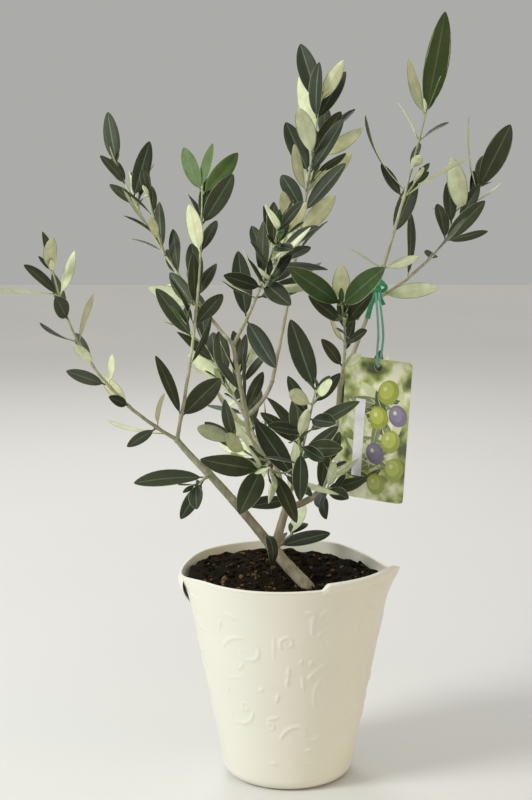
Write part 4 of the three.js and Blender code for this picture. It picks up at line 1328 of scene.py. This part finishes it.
def add_light(name, kind, place, aim, energy, colour, **settings):
    """A light that points from a place to an aim. A sun's light is as even as if it were far away."""
    light = bpy.data.lights.new(name, kind)
    light.energy = energy
    light.color = colour
    for key, value in settings.items():
        setattr(light, key, value)
    lamp = add_object(name, light)
    lamp.location = place
    lamp.rotation_euler = (Vector(aim) - Vector(place)).to_track_quat("-Z", "Y").to_euler()


def light_scene():
    add_light("key", "AREA", (-1.45, -0.8, 1.25), AIM, 25, (0.97, 0.99, 0.97), shape="DISK", size=0.7)
    add_light("rim", "AREA", (-0.3, 1.4, 1.3), AIM, 7, (0.97, 0.99, 1.0), shape="DISK", size=0.8)
    add_light("overhead", "SUN", (0, 0, 1), (0, 0, 0), 0.5, (1.0, 1.0, 1.0), angle=1.5)
    add_light("fill", "SUN", (1.5, -0.7, 0.26), (0, 0, 0), 0.55, (1.0, 0.6, 0.13), angle=0.7)
    world = bpy.data.worlds.new("studio")
    world.use_nodes = True
    sky = world.node_tree.nodes["Background"]
    sky.inputs["Color"].default_value = (0.95, 0.95, 0.92, 1)
    sky.inputs["Strength"].default_value = 0.43
    bpy.context.scene.world = world
    bpy.context.scene.view_settings.view_transform = "Standard"


def add_camera():
    view = bpy.data.cameras.new("front")
    view.sensor_fit = "AUTO"
    view.sensor_width = CAMERA["sensor_width"]
    view.lens = CAMERA["lens"]
    camera = add_object("front", view)
    camera.location = CAMERA["place"]
    camera.rotation_euler = (radians(CAMERA["tilt"]), 0, 0)
    bpy.context.scene.camera = camera


# ---- assembly

def pot_material():
    """Cream plastic with a satin skin, a little uneven in colour."""
    made = Material("pot_cream", "eceadc", 0.42, Specular_IOR_Level=0.45)
    made.mottle(made.noise(9, 4), (0.3, 0.95), (0.7, 1.03))
    made.gloss(made.noise(60), 0.36, 0.5)
    made.bump(made.noise(60), 0.3, 0.25)
    made.bump(made.noise(900, 2), 0.04, 0.4)
    return made.material


def soil_material(name, code, roughness=0.92):
    made = Material(name, code, roughness, Specular_IOR_Level=0.08)
    made.mottle(made.noise(240, 4), (0.3, 0.6), (0.7, 1.35))
    made.bump(made.noise(600, 4), 0.5, 0.8)
    return made.material


def print_material(name, code):
    """Coated board with a soft gloss."""
    made = Material(name, code, 0.32, Coat_Weight=0.35, Coat_Roughness=0.15)
    made.mottle(made.noise(120, 2), (0.3, 0.9), (0.7, 1.08))
    made.bump(made.noise(500, 2), 0.03, 0.3)
    return made.material


def picture_and_glare_material():
    """Coated board printed with blurred foliage: blotches of dark, mid, yellow green and painted glare."""
    made = Material("print_picture", "75864a", 0.3, Coat_Weight=0.4, Coat_Roughness=0.12)
    # The palest stop, near white, is partly pale print and partly painted glare of the coat.
    made.mottle(made.noise(75, 2), (0.34, "4e5932"), (0.43, "8b9652"), (0.52, "bfc586"), (0.62, "e9e8d0"))
    made.bump(made.noise(130, 2), 0.12, 0.3)
    return made.material


def ribbon_material(name, code):
    """Satin weave: fine ribs over a lightly mottled colour."""
    made = Material(name, code, 0.45, Sheen_Weight=0.25)
    made.mottle(made.noise(300), (0.3, 0.8), (0.7, 1.2))
    made.bump(made.noise(2600, 2, (0.2, 1, 1)), 0.08, 0.5)
    return made.material


def leaf_materials():
    """A material for each look of a leaf, in the order of their numbers."""
    return ([leaf_material("leaf_" + name, *row, Specular_IOR_Level=0.32) for name, row in LEAF_TOPS.items()]
            + [leaf_material("under_" + name, code, 0.7) for name, code in LEAF_UNDERS.items()]
            + [leaf_material(name, *row) for name, row in LEAF_TRIMS.items()])


def print_materials():
    return [picture_and_glare_material()] + [print_material("print_" + name, code)
                                   for name, code in PRINT_COLOURS.items() if code]


def build():
    plant = Plant()
    for shoot in SHOOTS:
        plant.grow_mass(plant.limbs[shoot["name"]])
    grow_young(plant)
    hang_old_leaf(plant)
    make_bark(plant.limbs, [bark_material(*row) for row in BARK_COLOURS])
    make_stems(plant, [bark_material(*row) for row in STEM_COLOURS])
    make_leaves(plant, leaf_materials())
    make_pot(pot_material())
    make_soil([soil_material(*row) for row in SOIL_COLOURS])
    make_card(plant.tie, print_materials())
    make_ribbon(plant.tie, [ribbon_material(*row) for row in RIBBON_COLOURS])


build()
make_stage()
light_scene()
add_camera()
